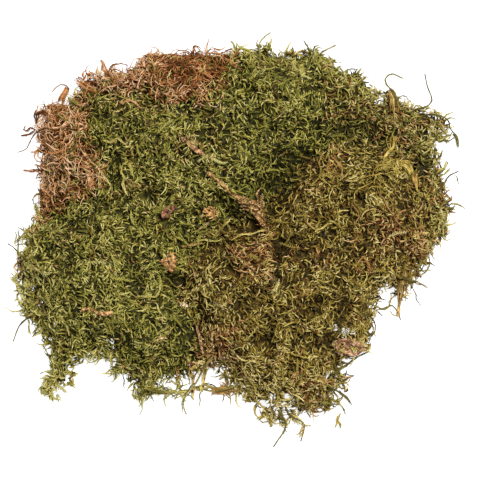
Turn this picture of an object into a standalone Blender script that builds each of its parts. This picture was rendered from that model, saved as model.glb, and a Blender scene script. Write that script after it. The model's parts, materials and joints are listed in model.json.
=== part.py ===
"""A clump of gathered, air-dried moss, lying flat: five tangled mats, the litter caught in them and
the stray stems that trail from their edges.

Sizes are in millimetres here and are turned to metres where a mesh is made. The plan is drawn
looking straight down, +X to the right and +Y away. Outlines are traced about a drawing centre;
PLAN_CENTRE moves them so that the origin is under the middle of the clump, on the surface that it
lies on.
"""

import math
import random

import bpy
import numpy as np
from mathutils import Vector, noise
from mathutils.bvhtree import BVHTree
from mathutils.geometry import delaunay_2d_cdt

MM = 0.001
DOWN = Vector((0, 0, -1))
ABOVE_ALL = 1.0  # in metres, where a look down starts
PLAN_CENTRE = (-0.3, -4.8)

# How a mat is built
EDGE_STEP = 3.1  # spacing of the points round a mat
FACE_STEP = 4.7  # spacing of the points over a mat's top
FACE_JITTER = 0.8
FACE_INSET = 2.4  # the top's points stay this far inside the edge
SEAM_GAP = 0.8  # between two mats that meet
FOOT_INSET = 2.0  # the flat underside stops this far inside the edge
OUTER_RIM = 3.6  # thickness of a mat's free edge
SEAM_RIM = 8.5  # thickness of a mat where it meets the next one
RIM_CHANGE = 1.2
SHOULDER = 24.0  # from the edge to where a mat has its full thickness
SHOULDER_POWER = 2.3
FRINGE = (0.8, 6.0)  # how far the shoots of the free edge reach out
FRINGE_TIPS = (1.2, 6.5)  # how high their tips are
FRINGE_SWAY = 1.3  # how far they lean along the edge
FRINGE_CLEAR = 7.0  # no fringe this near the end of a free edge
TUFT_SIZE = 12.5  # spacing of the small cushions on top
TUFT_RELIEF = 6.5
TUFT_PHASE = 3.7  # sets one mat's cushions apart from the next one's
SHOOT_SIZE = 4.5
SHOOT_RELIEF = 1.6

# Loose things that lie on the mats
LYING_GAP = 0.45
STEM_REACH = 2.6  # a stem clears everything this near its middle line
STEM_PROBES = 8
LEAST_LIFT = 0.3  # nothing else is under the surface that the mats lie on

# Outlines, as the stretches between the corners where mats meet. Each is a smooth curve.
TOP_EDGE_BROWN = [
    (-78, 76), (-84, 79), (-88, 83), (-83, 86), (-77, 83), (-73, 86), (-67, 88), (-61, 90),
    (-55, 92), (-52, 96), (-46, 98), (-38, 98.5), (-30, 98), (-24, 100), (-18, 98), (-11, 98),
    (-4, 100), (1, 100),
]
BROWN_TOP_SEAM = [
    (1, 100), (-1, 91), (-6, 84), (-12, 78), (-19, 72), (-30, 70), (-42, 73), (-52, 77), (-60, 76),
    (-70, 74), (-78, 76),
]
TOP_EDGE_GREEN = [
    (1, 100), (8, 101), (15, 98), (24, 96), (34, 96), (43, 98.5), (51, 97), (57, 92), (63, 88),
]
GREEN_UNDER_SEAM = [(63, 88), (57, 79), (54, 68), (55, 58), (58, 50)]
CREVICE = [
    (58, 50), (52, 46), (44, 40), (34, 31), (25, 21), (14, 10), (3, 6), (-8, 2), (-15, -6), (-22, -14),
    (-27, -23), (-28, -32), (-25, -40), (-21, -48), (-20, -58), (-21, -68), (-21, -78),
]
LOW_EDGE_GREEN = [
    (-21, -78), (-26, -83), (-32, -80), (-38, -83), (-45, -90), (-51, -91), (-54, -84), (-58, -80), (-65, -80),
    (-68, -75), (-65, -70), (-70, -66), (-76, -67), (-82, -71), (-88, -73), (-92, -79), (-96, -87),
    (-101, -91), (-107, -88), (-104, -81), (-101, -73), (-101, -64), (-103, -57), (-109, -52),
    (-115, -48), (-112, -40), (-118, -34), (-117, -26), (-120, -19), (-117, -11), (-114, -5),
    (-117, 1), (-112, 4), (-108, 6),
]
BROWN_LEFT_SEAM = [
    (-108, 6), (-102, 9), (-94, 14), (-86, 18), (-78, 21), (-74, 28), (-76, 36), (-81, 44), (-81, 54),
    (-80, 60), (-80, 66),
]
NECK_EDGE_GREEN = [(-80, 66), (-85, 72.5), (-78, 76)]
LEFT_EDGE_BROWN = [
    (-108, 6), (-110, 16), (-107, 24), (-105, 31), (-106, 38), (-107, 47), (-111, 54), (-108, 61),
    (-105, 67), (-98, 71), (-90, 71), (-80, 66),
]
RIGHT_EDGE_UNDER = [
    (63, 88), (69, 83), (76, 79), (84, 76), (91, 74), (97, 70), (104, 66), (113, 64), (118, 59),
    (114, 52), (110, 45), (110, 38), (114, 33), (116, 25), (118, 16), (118, 6), (116, -3), (110, -9),
]
UNDER_SEAM = [
    (110, -9), (108, 2), (107, 12), (103, 24), (100, 34), (95, 41), (86, 44), (76, 46), (67, 48), (58, 50),
]
LOW_EDGE_OLIVE = [
    (110, -9), (108, -17), (100, -22), (98, -29), (94, -37), (88, -35), (82, -33), (78, -38), (74, -45),
    (75, -53), (74, -60), (69, -66), (62, -68), (58, -73), (58, -81), (59, -89), (54, -96), (46, -100),
    (37, -99), (30, -101), (23, -105), (18, -104), (14, -98), (9, -92), (4, -87), (-2, -83), (-5, -77),
    (-12, -74), (-21, -78),
]

# Each mat: its outline going clockwise as (stretch, runs backwards, is a free edge), its thickness,
# its mounds and hollows as (x, y, height, spread), and its colour and roughness.
MATS = {
    "green_mat": {
        "outline": [
            (TOP_EDGE_GREEN, False, True), (GREEN_UNDER_SEAM, False, False), (CREVICE, False, False),
            (LOW_EDGE_GREEN, False, True), (BROWN_LEFT_SEAM, False, False),
            (NECK_EDGE_GREEN, False, True), (BROWN_TOP_SEAM, True, False),
        ],
        "thickness": 25.0,
        "mounds": [
            (-78, -14, 5, 26), (-30, 42, 6, 28), (22, 76, 7, 22), (-48, -58, 3, 16), (-98, -82, -9, 12),
            (-72, 52, -5, 11), (-52, 8, -3, 14),
        ],
        "colour": (0.130, 0.135, 0.030),
    },
    "olive_mat": {
        "outline": [
            (UNDER_SEAM, True, False), (LOW_EDGE_OLIVE, False, True), (CREVICE, True, False),
        ],
        "thickness": 29.0,
        "mounds": [
            (88, 24, 6, 16), (50, 14, 4, 20), (30, -46, 6, 24), (-10, -38, 5, 12), (36, -92, -6, 16),
            (20, 2, -7, 11), (62, -22, -4, 11), (60, -56, -7, 9), (100, -10, -5, 12),
        ],
        "colour": (0.150, 0.125, 0.028),
    },
    "under_mat": {
        "outline": [
            (RIGHT_EDGE_UNDER, False, True), (UNDER_SEAM, False, False), (GREEN_UNDER_SEAM, True, False),
        ],
        "thickness": 16.0,
        "mounds": [(74, 64, 5, 12), (112, 58, -5, 10), (113, 12, -2, 12)],
        "colour": (0.085, 0.090, 0.022),
    },
    "brown_tuft_top": {
        "outline": [(TOP_EDGE_BROWN, False, True), (BROWN_TOP_SEAM, False, False)],
        "thickness": 22.0,
        "mounds": [(-40, 88, 6, 13), (-10, 92, 2, 10), (-72, 80, -8, 10), (-86, 80, -8, 8)],
        "colour": (0.240, 0.110, 0.045),
    },
    "brown_tuft_left": {
        "outline": [(LEFT_EDGE_BROWN, False, True), (BROWN_LEFT_SEAM, True, False)],
        "thickness": 20.0,
        "mounds": [(-92, 60, 5, 12), (-90, 32, 2, 10), (-106, 14, -5, 10)],
        "colour": (0.235, 0.115, 0.048),
    },
}

# Stray stems as plan points from root to tip, with the radius at the root. Each name says where it is.
STEM_TIP_SHARE = 0.4  # the tip's radius over the root's
STEM_BUNCHES = 0.18
STEM_POINT_STEP = 3.0
STEM_SIDES = 6
STRAYS = {
    "stray_north": (1.1, [(14, 92), (14, 98), (14, 103), (16.5, 107), (20, 109.5)]),
    "stray_north_east": (1.2, [(43, 92), (47, 97), (51, 100), (56, 102.5)]),
    "stray_north_west": (0.7, [(-66, 82), (-69, 87), (-67, 91), (-61, 92.5)]),
    "stray_hook_upper": (1.1, [(90, 68), (88.5, 76), (84.5, 80), (83.5, 84), (87, 87), (93, 84.5)]),
    "stray_wire_upper": (0.6, [(96, 65), (102, 67.5), (107, 69), (109.5, 73), (107, 79.5), (105.5, 87)]),
    "stray_loop_right": (0.9, [(100, 60), (106, 64), (113, 63.5), (118, 61), (119, 56), (123.5, 52), (124, 47)]),
    "stray_fork_right": (0.7, [(110, 20), (115, 25), (118, 30), (124, 33)]),
    "stray_right_low": (0.9, [(90, -24), (96, -27), (101, -28), (107, -31.5)]),
    "stray_right_hook": (1.0, [(70, -38), (77, -41), (82, -43), (87, -41), (90, -44), (92, -49)]),
    "stray_right_down": (0.8, [(70, -45), (76, -48), (78, -54), (74.5, -60), (74, -66)]),
    "stray_sprig_right": (1.4, [(54, -78), (62, -74), (68, -69.5), (74, -66.5)]),
    "stray_low_right": (0.9, [(50, -84), (57, -88), (62, -91), (65, -96)]),
    "stray_low_curl": (0.9, [(46, -93), (53, -95), (59, -96), (61.5, -101)]),
    "stray_low_fork": (1.0, [(28, -96), (31, -102), (37, -105), (39, -108), (37, -116)]),
    "stray_low_tip": (1.2, [(24, -98), (28, -105), (28, -110), (25, -114.5), (22, -119)]),
    "stray_bottom_strand": (1.3, [(-49, -86), (-41, -88.5), (-31, -89), (-20, -87), (-10, -88.5), (4, -84)]),
    "stray_bottom_arch": (1.1, [(-13, -70), (-17, -76), (-21, -84), (-26, -90), (-28, -96), (-26.5, -101)]),
    "stray_left_low": (0.7, [(-109, -46), (-115, -49), (-119, -53), (-122, -61)]),
    "stray_left": (0.6, [(-112, -16), (-117, -13.5), (-121, -9.5), (-125, -7)]),
    "stray_left_upper": (0.8, [(-101, 56), (-108, 54.5), (-112, 50), (-114.5, 45.5), (-119.5, 43.5)]),
    "stray_left_loop": (0.9, [(-95, 67), (-93, 73), (-91, 79), (-96, 81), (-100.5, 77)]),
}

# Litter as plan points and sizes
FLAKE_CENTRE, FLAKE_LENGTH, FLAKE_SPREAD, FLAKE_TURN = (-40.5, -17), 9.5, 42, 0
FLAKE_ROOT, FLAKE_NOTCH = 0.12, 0.86  # shares of its length
FLAKE_RIBS, FLAKE_ROWS, FLAKE_RIB_HEIGHT, FLAKE_THICKNESS = 5, 5, 0.5, 1.0
LEAF_THICKNESS, LEAF_RIPPLE, LEAF_RIPPLE_TURNS = 0.7, 0.25, 4.5
LEAF_ACROSS, LEAF_ALONG, LEAF_END_SHARE = 5, 8, 0.25
LEAVES = {  # centre, length, width, turn in degrees, curl upwards, colour
    "purple_leaf_scrap": ((-36, 10.5), 9.0, 5.0, 40, 1.2, (0.155, 0.060, 0.050)),
    "straw_leaf_scrap": ((-13.5, 9), 9.0, 6.0, -55, 1.5, (0.420, 0.230, 0.080)),
    "pink_leaf": ((63, -63.5), 16.0, 9.0, -12, 2.6, (0.360, 0.190, 0.140)),
    "pale_chip": ((-27.5, -41), 5.0, 2.8, -30, 0.4, (0.700, 0.560, 0.420)),
}
TWIGS = {  # radius along the twig, plan points, colour
    "pale_twig": ((0.6, 0.9, 0.8, 1.5, 1.7, 1.0), [(-83, -43.5), (-79, -42), (-75, -44), (-70, -45), (-65.5, -44)],
                  (0.480, 0.270, 0.160)),
    "bark_strip": ((0.7, 1.6, 1.3, 1.8, 0.8), [(-28.5, 50.5), (-25, 47.5), (-21, 44), (-16, 41)],
                   (0.400, 0.220, 0.105)),
    "dead_stem": ((0.6, 1.1, 1.0, 2.0, 2.6, 1.2), [(-14, 31), (-8, 27), (-2, 20.5), (5, 16.5), (10, 13), (16, 3)],
                  (0.370, 0.170, 0.070)),
    "splinter_low": ((0.6, 1.1, 1.3, 0.5), [(-20.5, -52), (-19, -58), (-17, -67)], (0.370, 0.200, 0.130)),
    "splinter_small": ((0.5, 0.9, 0.6), [(-43.5, -60), (-40, -59), (-35.5, -58)], (0.520, 0.360, 0.230)),
}
FLAKE_COLOUR = (0.420, 0.150, 0.070)
STRAY_COLOUR = (0.160, 0.150, 0.045)


def clear_scene():
    for obj in list(bpy.data.objects):
        bpy.data.objects.remove(obj)


def material(name, colour, roughness=0.85):
    """A plain dry surface of one colour."""
    mat = bpy.data.materials.new(name)
    mat.use_nodes = True
    shader = mat.node_tree.nodes["Principled BSDF"]
    shader.inputs["Base Color"].default_value = (*colour, 1.0)
    shader.inputs["Roughness"].default_value = roughness
    shader.inputs["Metallic"].default_value = 0.0
    return mat


def add_object(name, points, faces, colour):
    """A closed, smooth-shaded mesh whose faces point out. Points are in millimetres."""
    mesh = bpy.data.meshes.new(name)
    mesh.from_pydata([tuple(c * MM for c in p) for p in points], [], faces)
    mesh.validate()
    mesh.shade_smooth()
    mesh.materials.append(material(name, colour))
    obj = bpy.data.objects.new(name, mesh)
    bpy.context.scene.collection.objects.link(obj)
    return obj


def plan(points):
    """Traced points as an array about the origin."""
    return np.array(points, float) - PLAN_CENTRE


def smooth_curve(points, step):
    """Points about step apart on the Catmull-Rom curve through these, both ends included."""
    ends = np.vstack([2 * points[0] - points[1], points, 2 * points[-1] - points[-2]])
    t = np.linspace(0, 1, 12, endpoint=False)[:, None]
    spans = []
    for a, b, c, d in zip(ends, ends[1:], ends[2:], ends[3:]):
        spans.append(0.5 * (2 * b + (c - a) * t + (2 * a - 5 * b + 4 * c - d) * t**2
                            + (3 * b - a - 3 * c + d) * t**3))
    dense = np.vstack([*spans, points[-1:]])
    run = np.concatenate([[0], np.cumsum(np.linalg.norm(np.diff(dense, axis=0), axis=1))])
    count = max(2, round(run[-1] / step) + 1)
    at = np.linspace(0, run[-1], count)
    return np.stack([np.interp(at, run, dense[:, k]) for k in range(dense.shape[1])], 1)


def outline_of(stretches):
    """The closed outline, and for each point how far along a free edge it is from that edge's nearer end."""
    places = []
    free = []
    for traced, backwards, is_free in stretches:
        curve = smooth_curve(plan(traced), EDGE_STEP)
        curve = curve[::-1] if backwards else curve
        along = np.arange(len(curve)) * EDGE_STEP
        places.append(curve[:-1])
        free.append((np.minimum(along, along[::-1]) * is_free)[:-1])
    return np.vstack(places), np.concatenate(free)


def outward(outline):
    """The outward direction at each point of a clockwise outline."""
    tangent = np.roll(outline, -1, 0) - np.roll(outline, 1, 0)
    tangent /= np.linalg.norm(tangent, axis=1)[:, None]
    return np.stack([-tangent[:, 1], tangent[:, 0]], 1)


def distance_to(outline, places):
    """How far each place is from the closed outline."""
    start, run = outline, np.roll(outline, -1, 0) - outline
    offset = places[:, None] - start
    share = np.clip((offset * run).sum(2) / (run**2).sum(1), 0, 1)
    return np.linalg.norm(offset - run * share[:, :, None], axis=2).min(1)


def inside(outline, places):
    """Whether each place is within the closed outline."""
    x, y = places[:, 0:1], places[:, 1:2]
    ax, ay = outline[:, 0], outline[:, 1]
    bx, by = np.roll(ax, -1), np.roll(ay, -1)
    crosses = (ay > y) != (by > y)
    run = np.where(by == ay, 1, by - ay)
    return (crosses & (x < (bx - ax) * (y - ay) / run + ax)).sum(1) % 2 == 1


def tuft_height(place, phase):
    """The relief of small cushions and single shoots at a place."""
    at = Vector((place[0] / TUFT_SIZE, place[1] / TUFT_SIZE, phase))
    nearest = noise.voronoi(at)[0][0]
    cushion = 0.45 - 1.3 * nearest**2
    shoots = noise.noise(at * (TUFT_SIZE / SHOOT_SIZE))
    return TUFT_RELIEF * cushion + SHOOT_RELIEF * shoots


def top_height(places, depth, rim, mat, phase):
    """The height of a mat's top at places this far inside its edge."""
    full = np.full(len(places), mat["thickness"])
    for x, y, height, spread in mat["mounds"]:
        middle = plan((x, y))
        full += height * np.exp(-((places - middle) ** 2).sum(1) / (2 * spread**2))
    share = np.clip(depth / SHOULDER, 0, 1)
    rise = 1 - (1 - share) ** SHOULDER_POWER
    tufts = np.array([tuft_height(p, phase) for p in places])
    fade = np.clip(depth / (SHOULDER / 3), 0, 1)
    return rim + (full - rim) * rise + tufts * fade


def face_points(outline, rng):
    """Slightly uneven points of a hexagonal grid inside the outline."""
    low, high = outline.min(0), outline.max(0)
    row_step = FACE_STEP * math.sqrt(3) / 2
    spots = []
    for row, y in enumerate(np.arange(low[1], high[1], row_step)):
        for x in np.arange(low[0] + FACE_STEP / 2 * (row % 2), high[0], FACE_STEP):
            jitter = rng.uniform(-FACE_JITTER, FACE_JITTER), rng.uniform(-FACE_JITTER, FACE_JITTER)
            spots.append((x + jitter[0], y + jitter[1]))
    spots = np.array(spots)
    spots = spots[inside(outline, spots)]
    return spots[distance_to(outline, spots) > FACE_INSET]


def build_mat(name, mat, phase):
    """A mat with a flat underside, a fringed free edge and a tufted top."""
    rng = random.Random(name)
    edge, free = outline_of(mat["outline"])
    away = outward(edge)
    seam = free < FRINGE_CLEAR
    edge = edge - away * (SEAM_GAP / 2) * seam[:, None]
    rim = np.where(free > 0, OUTER_RIM, SEAM_RIM)
    rim_top = rim + np.array([rng.uniform(-RIM_CHANGE, RIM_CHANGE) for _ in edge])
    fringe = edge.copy()
    for i in range(0, len(edge), 2):
        reach = FRINGE[0] + (FRINGE[1] - FRINGE[0]) * rng.random() ** 1.6
        sway = rng.uniform(-FRINGE_SWAY, FRINGE_SWAY)
        tip = rng.uniform(*FRINGE_TIPS)
        if not seam[i]:
            fringe[i] += away[i] * reach + (away[i][1] * sway, -away[i][0] * sway)
            rim_top[i] = tip
    spots = face_points(edge, rng)
    depth = distance_to(edge, spots)
    nearest = np.linalg.norm(spots[:, None] - edge, axis=2).argmin(1)
    spot_top = top_height(spots, depth, rim[nearest], mat, phase)
    flat = np.vstack([fringe, spots])
    count = len(edge)
    ring = [(i, (i + 1) % count) for i in range(count)]
    laid = delaunay_2d_cdt([Vector(p) for p in flat], ring, [], 1, 1e-5)
    if len(laid[0]) != len(flat):
        raise RuntimeError(f"{name}: the outline crosses itself")
    top = [(p.x, p.y, z) for p, z in zip(laid[0], [*rim_top, *spot_top])]
    foot = [(*p, 0.0) for p in edge - away * FOOT_INSET]
    faces = [tuple(f) for f in laid[2]]
    low = len(top)
    for i, j in ring:
        faces.append((i, j, low + j))
        faces.append((i, low + j, low + i))
    faces.append(tuple(low + i for i in range(count)))
    return add_object(name, top + foot, faces, mat["colour"])


def surface_under(trees, x, y):
    """The highest point of what lies within STEM_REACH of a plan place, or the surface below it all."""
    offsets = [(0.0, 0.0)]
    for turn in range(STEM_PROBES):
        angle = math.tau * turn / STEM_PROBES
        offsets.append((STEM_REACH * math.cos(angle), STEM_REACH * math.sin(angle)))
    highest = 0.0
    for dx, dy in offsets:
        start = Vector(((x + dx) * MM, (y + dy) * MM, ABOVE_ALL))
        for tree in trees:
            hit = tree.ray_cast(start, DOWN)[0]
            if hit is not None:
                highest = max(highest, hit.z / MM)
    return highest


def lying_path(trees, traced, radii_at):
    """A path over the mats and down to the surface they lie on, and the radius at each of its points."""
    flat = smooth_curve(plan(traced), STEM_POINT_STEP)
    radii = np.interp(np.linspace(0, 1, len(flat)), np.linspace(0, 1, len(radii_at)), radii_at)
    heights = np.array([surface_under(trees, x, y) for x, y in flat])
    heights = np.maximum(heights + LYING_GAP, LEAST_LIFT) + radii
    eased = heights.copy()
    eased[1:-1] = np.maximum(heights[1:-1], (heights[:-2] + heights[2:]) / 2)
    return np.column_stack([flat, eased]), radii


def tube(name, path, radii, colour):
    """A closed tube through path that comes to a point at both ends."""
    tangents = np.gradient(path, axis=0)
    tangents /= np.linalg.norm(tangents, axis=1)[:, None]
    points = [tuple(path[0])]
    for i in range(1, len(path) - 1):
        side = np.cross(tangents[i], (0, 0, 1))
        side /= np.linalg.norm(side)
        up = np.cross(side, tangents[i])
        for k in range(STEM_SIDES):
            angle = math.tau * (k + 0.5 * (i % 2)) / STEM_SIDES
            points.append(tuple(path[i] + radii[i] * (side * math.cos(angle) + up * math.sin(angle))))
    points.append(tuple(path[-1]))
    tip = len(points) - 1
    last_ring = tip - STEM_SIDES
    faces = []
    for k in range(STEM_SIDES):
        n = (k + 1) % STEM_SIDES
        faces.append((0, 1 + k, 1 + n))
        for a in range(1, last_ring, STEM_SIDES):
            b = a + STEM_SIDES
            faces.append((a + k, b + n, a + n))
            faces.append((a + k, b + k, b + n))
        faces.append((tip, last_ring + n, last_ring + k))
    return add_object(name, points, faces, colour)


def build_stray(trees, name, radius, traced):
    """A trailing stem, thicker where its leaves are bunched."""
    path, radii = lying_path(trees, traced, (radius, radius * STEM_TIP_SHARE))
    bunches = np.where(np.arange(len(path)) % 2, 1 + STEM_BUNCHES, 1 - STEM_BUNCHES)
    return tube(name, path, radii * bunches, STRAY_COLOUR)


def build_twig(trees, name, radii_at, traced, colour):
    path, radii = lying_path(trees, traced, radii_at)
    return tube(name, path, radii, colour)


def plate(name, rows, thickness, turn, centre, colour):
    """A thin closed plate, turned in plan about a traced centre. rows is its top, [across, along, xyz]."""
    across, along = rows.shape[:2]
    cos, sin = math.cos(math.radians(turn)), math.sin(math.radians(turn))
    top = rows.reshape(-1, 3) @ np.array([(cos, sin, 0), (-sin, cos, 0), (0, 0, 1)])
    top += (*plan(centre), 0)
    points = np.vstack([top, top - (0, 0, thickness)])
    low = across * along
    faces = []
    for i in range(across - 1):
        for j in range(along - 1):
            a, b = i * along + j, (i + 1) * along + j
            faces.append((a, a + 1, b + 1, b))
            faces.append((low + a, low + b, low + b + 1, low + a + 1))
    rim = [i * along for i in range(across)]
    rim += [(across - 1) * along + j for j in range(1, along)]
    rim += [i * along + along - 1 for i in range(across - 2, -1, -1)]
    rim += list(range(along - 2, 0, -1))
    for a, b in zip(rim, rim[1:] + rim[:1]):
        faces.append((a, b, low + b, low + a))
    return add_object(name, points, faces, colour)


def build_flake():
    """A fan-shaped scale of bark with ribs from its root to a ragged edge."""
    across = 2 * FLAKE_RIBS + 1
    rows = np.zeros((across, FLAKE_ROWS, 3))
    for i, angle in enumerate(np.radians(np.linspace(-FLAKE_SPREAD, FLAKE_SPREAD, across))):
        on_rib = i % 2 == 1
        length = FLAKE_LENGTH * (1 if on_rib else FLAKE_NOTCH)
        for j, t in enumerate(np.linspace(0, 1, FLAKE_ROWS)):
            out = length * (FLAKE_ROOT + (1 - FLAKE_ROOT) * t)
            rib = FLAKE_RIB_HEIGHT * t * (1 if on_rib else -1)
            rows[i, j] = (out * math.cos(angle), out * math.sin(angle), rib)
    return plate("bark_flake", rows, FLAKE_THICKNESS, FLAKE_TURN, FLAKE_CENTRE, FLAKE_COLOUR)


def build_leaf(name, centre, length, width, turn, curl, colour):
    """A dry scrap of leaf: an oval blade with narrow ends, whose tip, base and sides curl up."""
    rows = np.zeros((LEAF_ACROSS, LEAF_ALONG, 3))
    for j, t in enumerate(np.linspace(-1, 1, LEAF_ALONG)):
        half = width / 2 * max(LEAF_END_SHARE, math.sqrt(1 - t * t))
        for i, side in enumerate(np.linspace(-1, 1, LEAF_ACROSS)):
            ripple = LEAF_RIPPLE * math.sin(LEAF_RIPPLE_TURNS * t + 2 * side)
            rows[i, j] = (length / 2 * t, half * side, curl * (side**2 + t**2) / 2 + ripple)
    return plate(name, rows, LEAF_THICKNESS, turn, centre, colour)


def tree_of(obj):
    mesh = obj.data
    return BVHTree.FromPolygons([v.co for v in mesh.vertices], [p.vertices[:] for p in mesh.polygons])


def settle(obj, trees):
    """Lowers a loose piece until it rests, LYING_GAP above the highest thing under it."""
    mesh = obj.data
    places = [v.co for v in mesh.vertices]
    for edge in mesh.edges:
        start, end = (mesh.vertices[v].co for v in edge.vertices)
        places.append((start + end) / 2)
    gaps = []
    for tree in trees:
        for place in places:
            hit = tree.ray_cast(Vector((place.x, place.y, ABOVE_ALL)), DOWN)[0]
            if hit is not None:
                gaps.append(place.z - hit.z)
    own = tree_of(obj)
    for mat_name in MATS:
        for vertex in bpy.data.objects[mat_name].data.vertices:
            hit = own.ray_cast(Vector((vertex.co.x, vertex.co.y, -ABOVE_ALL)), -DOWN)[0]
            if hit is not None:
                gaps.append(hit.z - vertex.co.z)
    drop = min(gaps) - LYING_GAP * MM
    for vertex in mesh.vertices:
        vertex.co.z -= drop


def main():
    clear_scene()
    trees = []
    for phase, (name, mat) in enumerate(MATS.items()):
        trees.append(tree_of(build_mat(name, mat, phase * TUFT_PHASE)))
    for name, (radius, traced) in STRAYS.items():
        trees.append(tree_of(build_stray(trees, name, radius, traced)))
    for name, (radii_at, traced, colour) in TWIGS.items():
        trees.append(tree_of(build_twig(trees, name, radii_at, traced, colour)))
    settle(build_flake(), trees)
    for name, (centre, length, width, turn, curl, colour) in LEAVES.items():
        settle(build_leaf(name, centre, length, width, turn, curl, colour), trees)


main()
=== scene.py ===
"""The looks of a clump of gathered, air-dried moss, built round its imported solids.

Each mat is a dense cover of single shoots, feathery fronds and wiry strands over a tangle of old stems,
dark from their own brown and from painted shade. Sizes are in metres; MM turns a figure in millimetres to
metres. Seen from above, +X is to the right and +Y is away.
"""

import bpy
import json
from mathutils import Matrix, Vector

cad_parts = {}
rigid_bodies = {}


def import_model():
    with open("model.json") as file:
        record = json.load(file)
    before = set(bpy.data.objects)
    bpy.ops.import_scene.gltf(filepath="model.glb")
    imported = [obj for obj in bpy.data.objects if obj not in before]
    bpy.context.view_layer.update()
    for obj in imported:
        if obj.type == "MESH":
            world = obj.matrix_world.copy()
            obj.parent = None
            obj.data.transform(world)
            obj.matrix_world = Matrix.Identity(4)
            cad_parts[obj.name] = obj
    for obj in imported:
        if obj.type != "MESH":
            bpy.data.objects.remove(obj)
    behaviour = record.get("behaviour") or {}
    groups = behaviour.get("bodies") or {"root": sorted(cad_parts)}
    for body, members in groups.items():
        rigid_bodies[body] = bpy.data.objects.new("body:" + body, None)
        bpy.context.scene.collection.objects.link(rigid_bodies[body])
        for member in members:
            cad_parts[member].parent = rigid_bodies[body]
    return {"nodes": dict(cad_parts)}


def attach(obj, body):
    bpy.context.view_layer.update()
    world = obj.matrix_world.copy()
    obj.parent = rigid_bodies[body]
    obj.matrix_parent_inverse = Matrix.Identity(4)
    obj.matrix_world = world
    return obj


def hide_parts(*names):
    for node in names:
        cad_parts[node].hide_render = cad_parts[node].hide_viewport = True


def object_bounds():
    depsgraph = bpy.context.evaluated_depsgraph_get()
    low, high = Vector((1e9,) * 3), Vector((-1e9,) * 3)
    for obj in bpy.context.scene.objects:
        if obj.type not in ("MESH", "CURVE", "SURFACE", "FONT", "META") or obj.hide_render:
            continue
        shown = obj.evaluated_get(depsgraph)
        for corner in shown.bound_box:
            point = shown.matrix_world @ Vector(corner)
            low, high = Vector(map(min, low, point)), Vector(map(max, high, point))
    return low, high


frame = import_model()
CAD_BOX = [list(corner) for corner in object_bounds()]

import json
import math
import random

import bmesh
import bpy
import numpy as np
from bpy.props import FloatProperty, FloatVectorProperty, IntProperty, PointerProperty
from mathutils import Vector, noise
from mathutils.bvhtree import BVHTree

bl_info = {
    "name": "Moss clump",
    "version": (1, 0, 0),
    "blender": (4, 5, 0),
    "location": "3D View > Sidebar > Moss",
    "description": "Dresses the solids of a moss clump with shoots, fronds, strands and litter",
    "category": "Object",
}

MM = 0.001
DOWN = Vector((0, 0, -1))
UP = Vector((0, 0, 1))
ABOVE_ALL = 1.0
WELD = 1e-6
MATS = ("green_mat", "olive_mat", "under_mat", "brown_tuft_top", "brown_tuft_left")


# --- What a user would change ---

def length_property(name, description, millimetres):
    return FloatProperty(name=name, description=description, default=millimetres * MM, unit="LENGTH",
                         subtype="DISTANCE", min=0.0)


class MossShoots(bpy.types.PropertyGroup):
    """Sizes of the single shoots, fronds and strands."""
    shoot_length: length_property("Shoot length", "Length of a single leafy shoot", 5.0)
    shoot_radius: length_property("Shoot radius", "Half the width of a shoot with its leaves", 0.47)
    frond_length: length_property("Frond length", "Length of a feathery frond", 9.0)
    strand_length: length_property("Strand length", "Length of a long wiry shoot", 8.5)
    strand_radius: length_property("Strand radius", "Half the width of a wiry shoot", 0.37)
    hair_length: length_property("Hair length", "Length of a thin brown stem of the dead tufts", 8.5)
    hair_radius: length_property("Hair radius", "Half the width of a thin brown stem", 0.25)
    core_depth: length_property("Old stems' depth", "Depth of the dark tangle below the shoots' tips", 4.6)
    seed: IntProperty(name="Seed", description="Fixes every random choice", default=7)


class MossDensity(bpy.types.PropertyGroup):
    """How many there are for each square metre of a mat's surface."""
    shoots: FloatProperty(name="Shoots", description="Leafy shoots a square metre", default=590000.0)
    fronds: FloatProperty(name="Fronds", description="Feathery fronds a square metre", default=5500.0)
    strands: FloatProperty(name="Strands", description="Wiry strands a square metre", default=48000.0)
    underside: FloatProperty(name="Underside", description="Stems a square metre underneath", default=60000.0)


class MossStage(bpy.types.PropertyGroup):
    """The floor, the lights and the camera."""
    frame_width: length_property("Frame width", "Width of the picture at the rim of the clump", 264.0)
    camera_height: length_property("Camera height", "Height of the lens above the floor", 1500.0)
    floor_colour: FloatVectorProperty(name="Floor", description="Colour of the pale floor", subtype="COLOR",
                                      size=3, min=0.0, max=1.0, default=(0.35, 0.35, 0.35))
    floor_glow: FloatProperty(name="Floor glow", description="Light that the pale floor gives", default=0.88)
    key_power: FloatProperty(name="Key light", description="Power of the light above", default=1000.0,
                             subtype="POWER")
    sky_strength: FloatProperty(name="Sky", description="Strength of the even light", default=0.41)


# --- Helpers ---

def linear(code):
    """A linear RGBA colour from an sRGB hex code."""
    parts = [int(code[i:i + 2], 16) / 255 for i in (1, 3, 5)]
    return (*[c / 12.92 if c <= 0.04045 else ((c + 0.055) / 1.055) ** 2.4 for c in parts], 1.0)


def socket_of(sockets, key):
    if isinstance(key, int):
        return [s for s in sockets if s.enabled][key]
    return next(s for s in sockets if s.enabled and s.name == key)


def set_socket(tree, socket, value):
    """Gives an input its value or links it to an output socket."""
    if isinstance(value, bpy.types.NodeSocket):
        tree.links.new(value, socket)
    else:
        socket.default_value = value


def add(tree, kind, settings=None, inputs=None):
    """Adds a node with its settings and gives its first output; inputs are values or output sockets."""
    node = tree.nodes.new(kind)
    for key, value in (settings or {}).items():
        setattr(node, key, value)
    for key, value in (inputs or {}).items():
        set_socket(tree, socket_of(node.inputs, key), value)
    return next(s for s in node.outputs if s.enabled)


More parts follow.
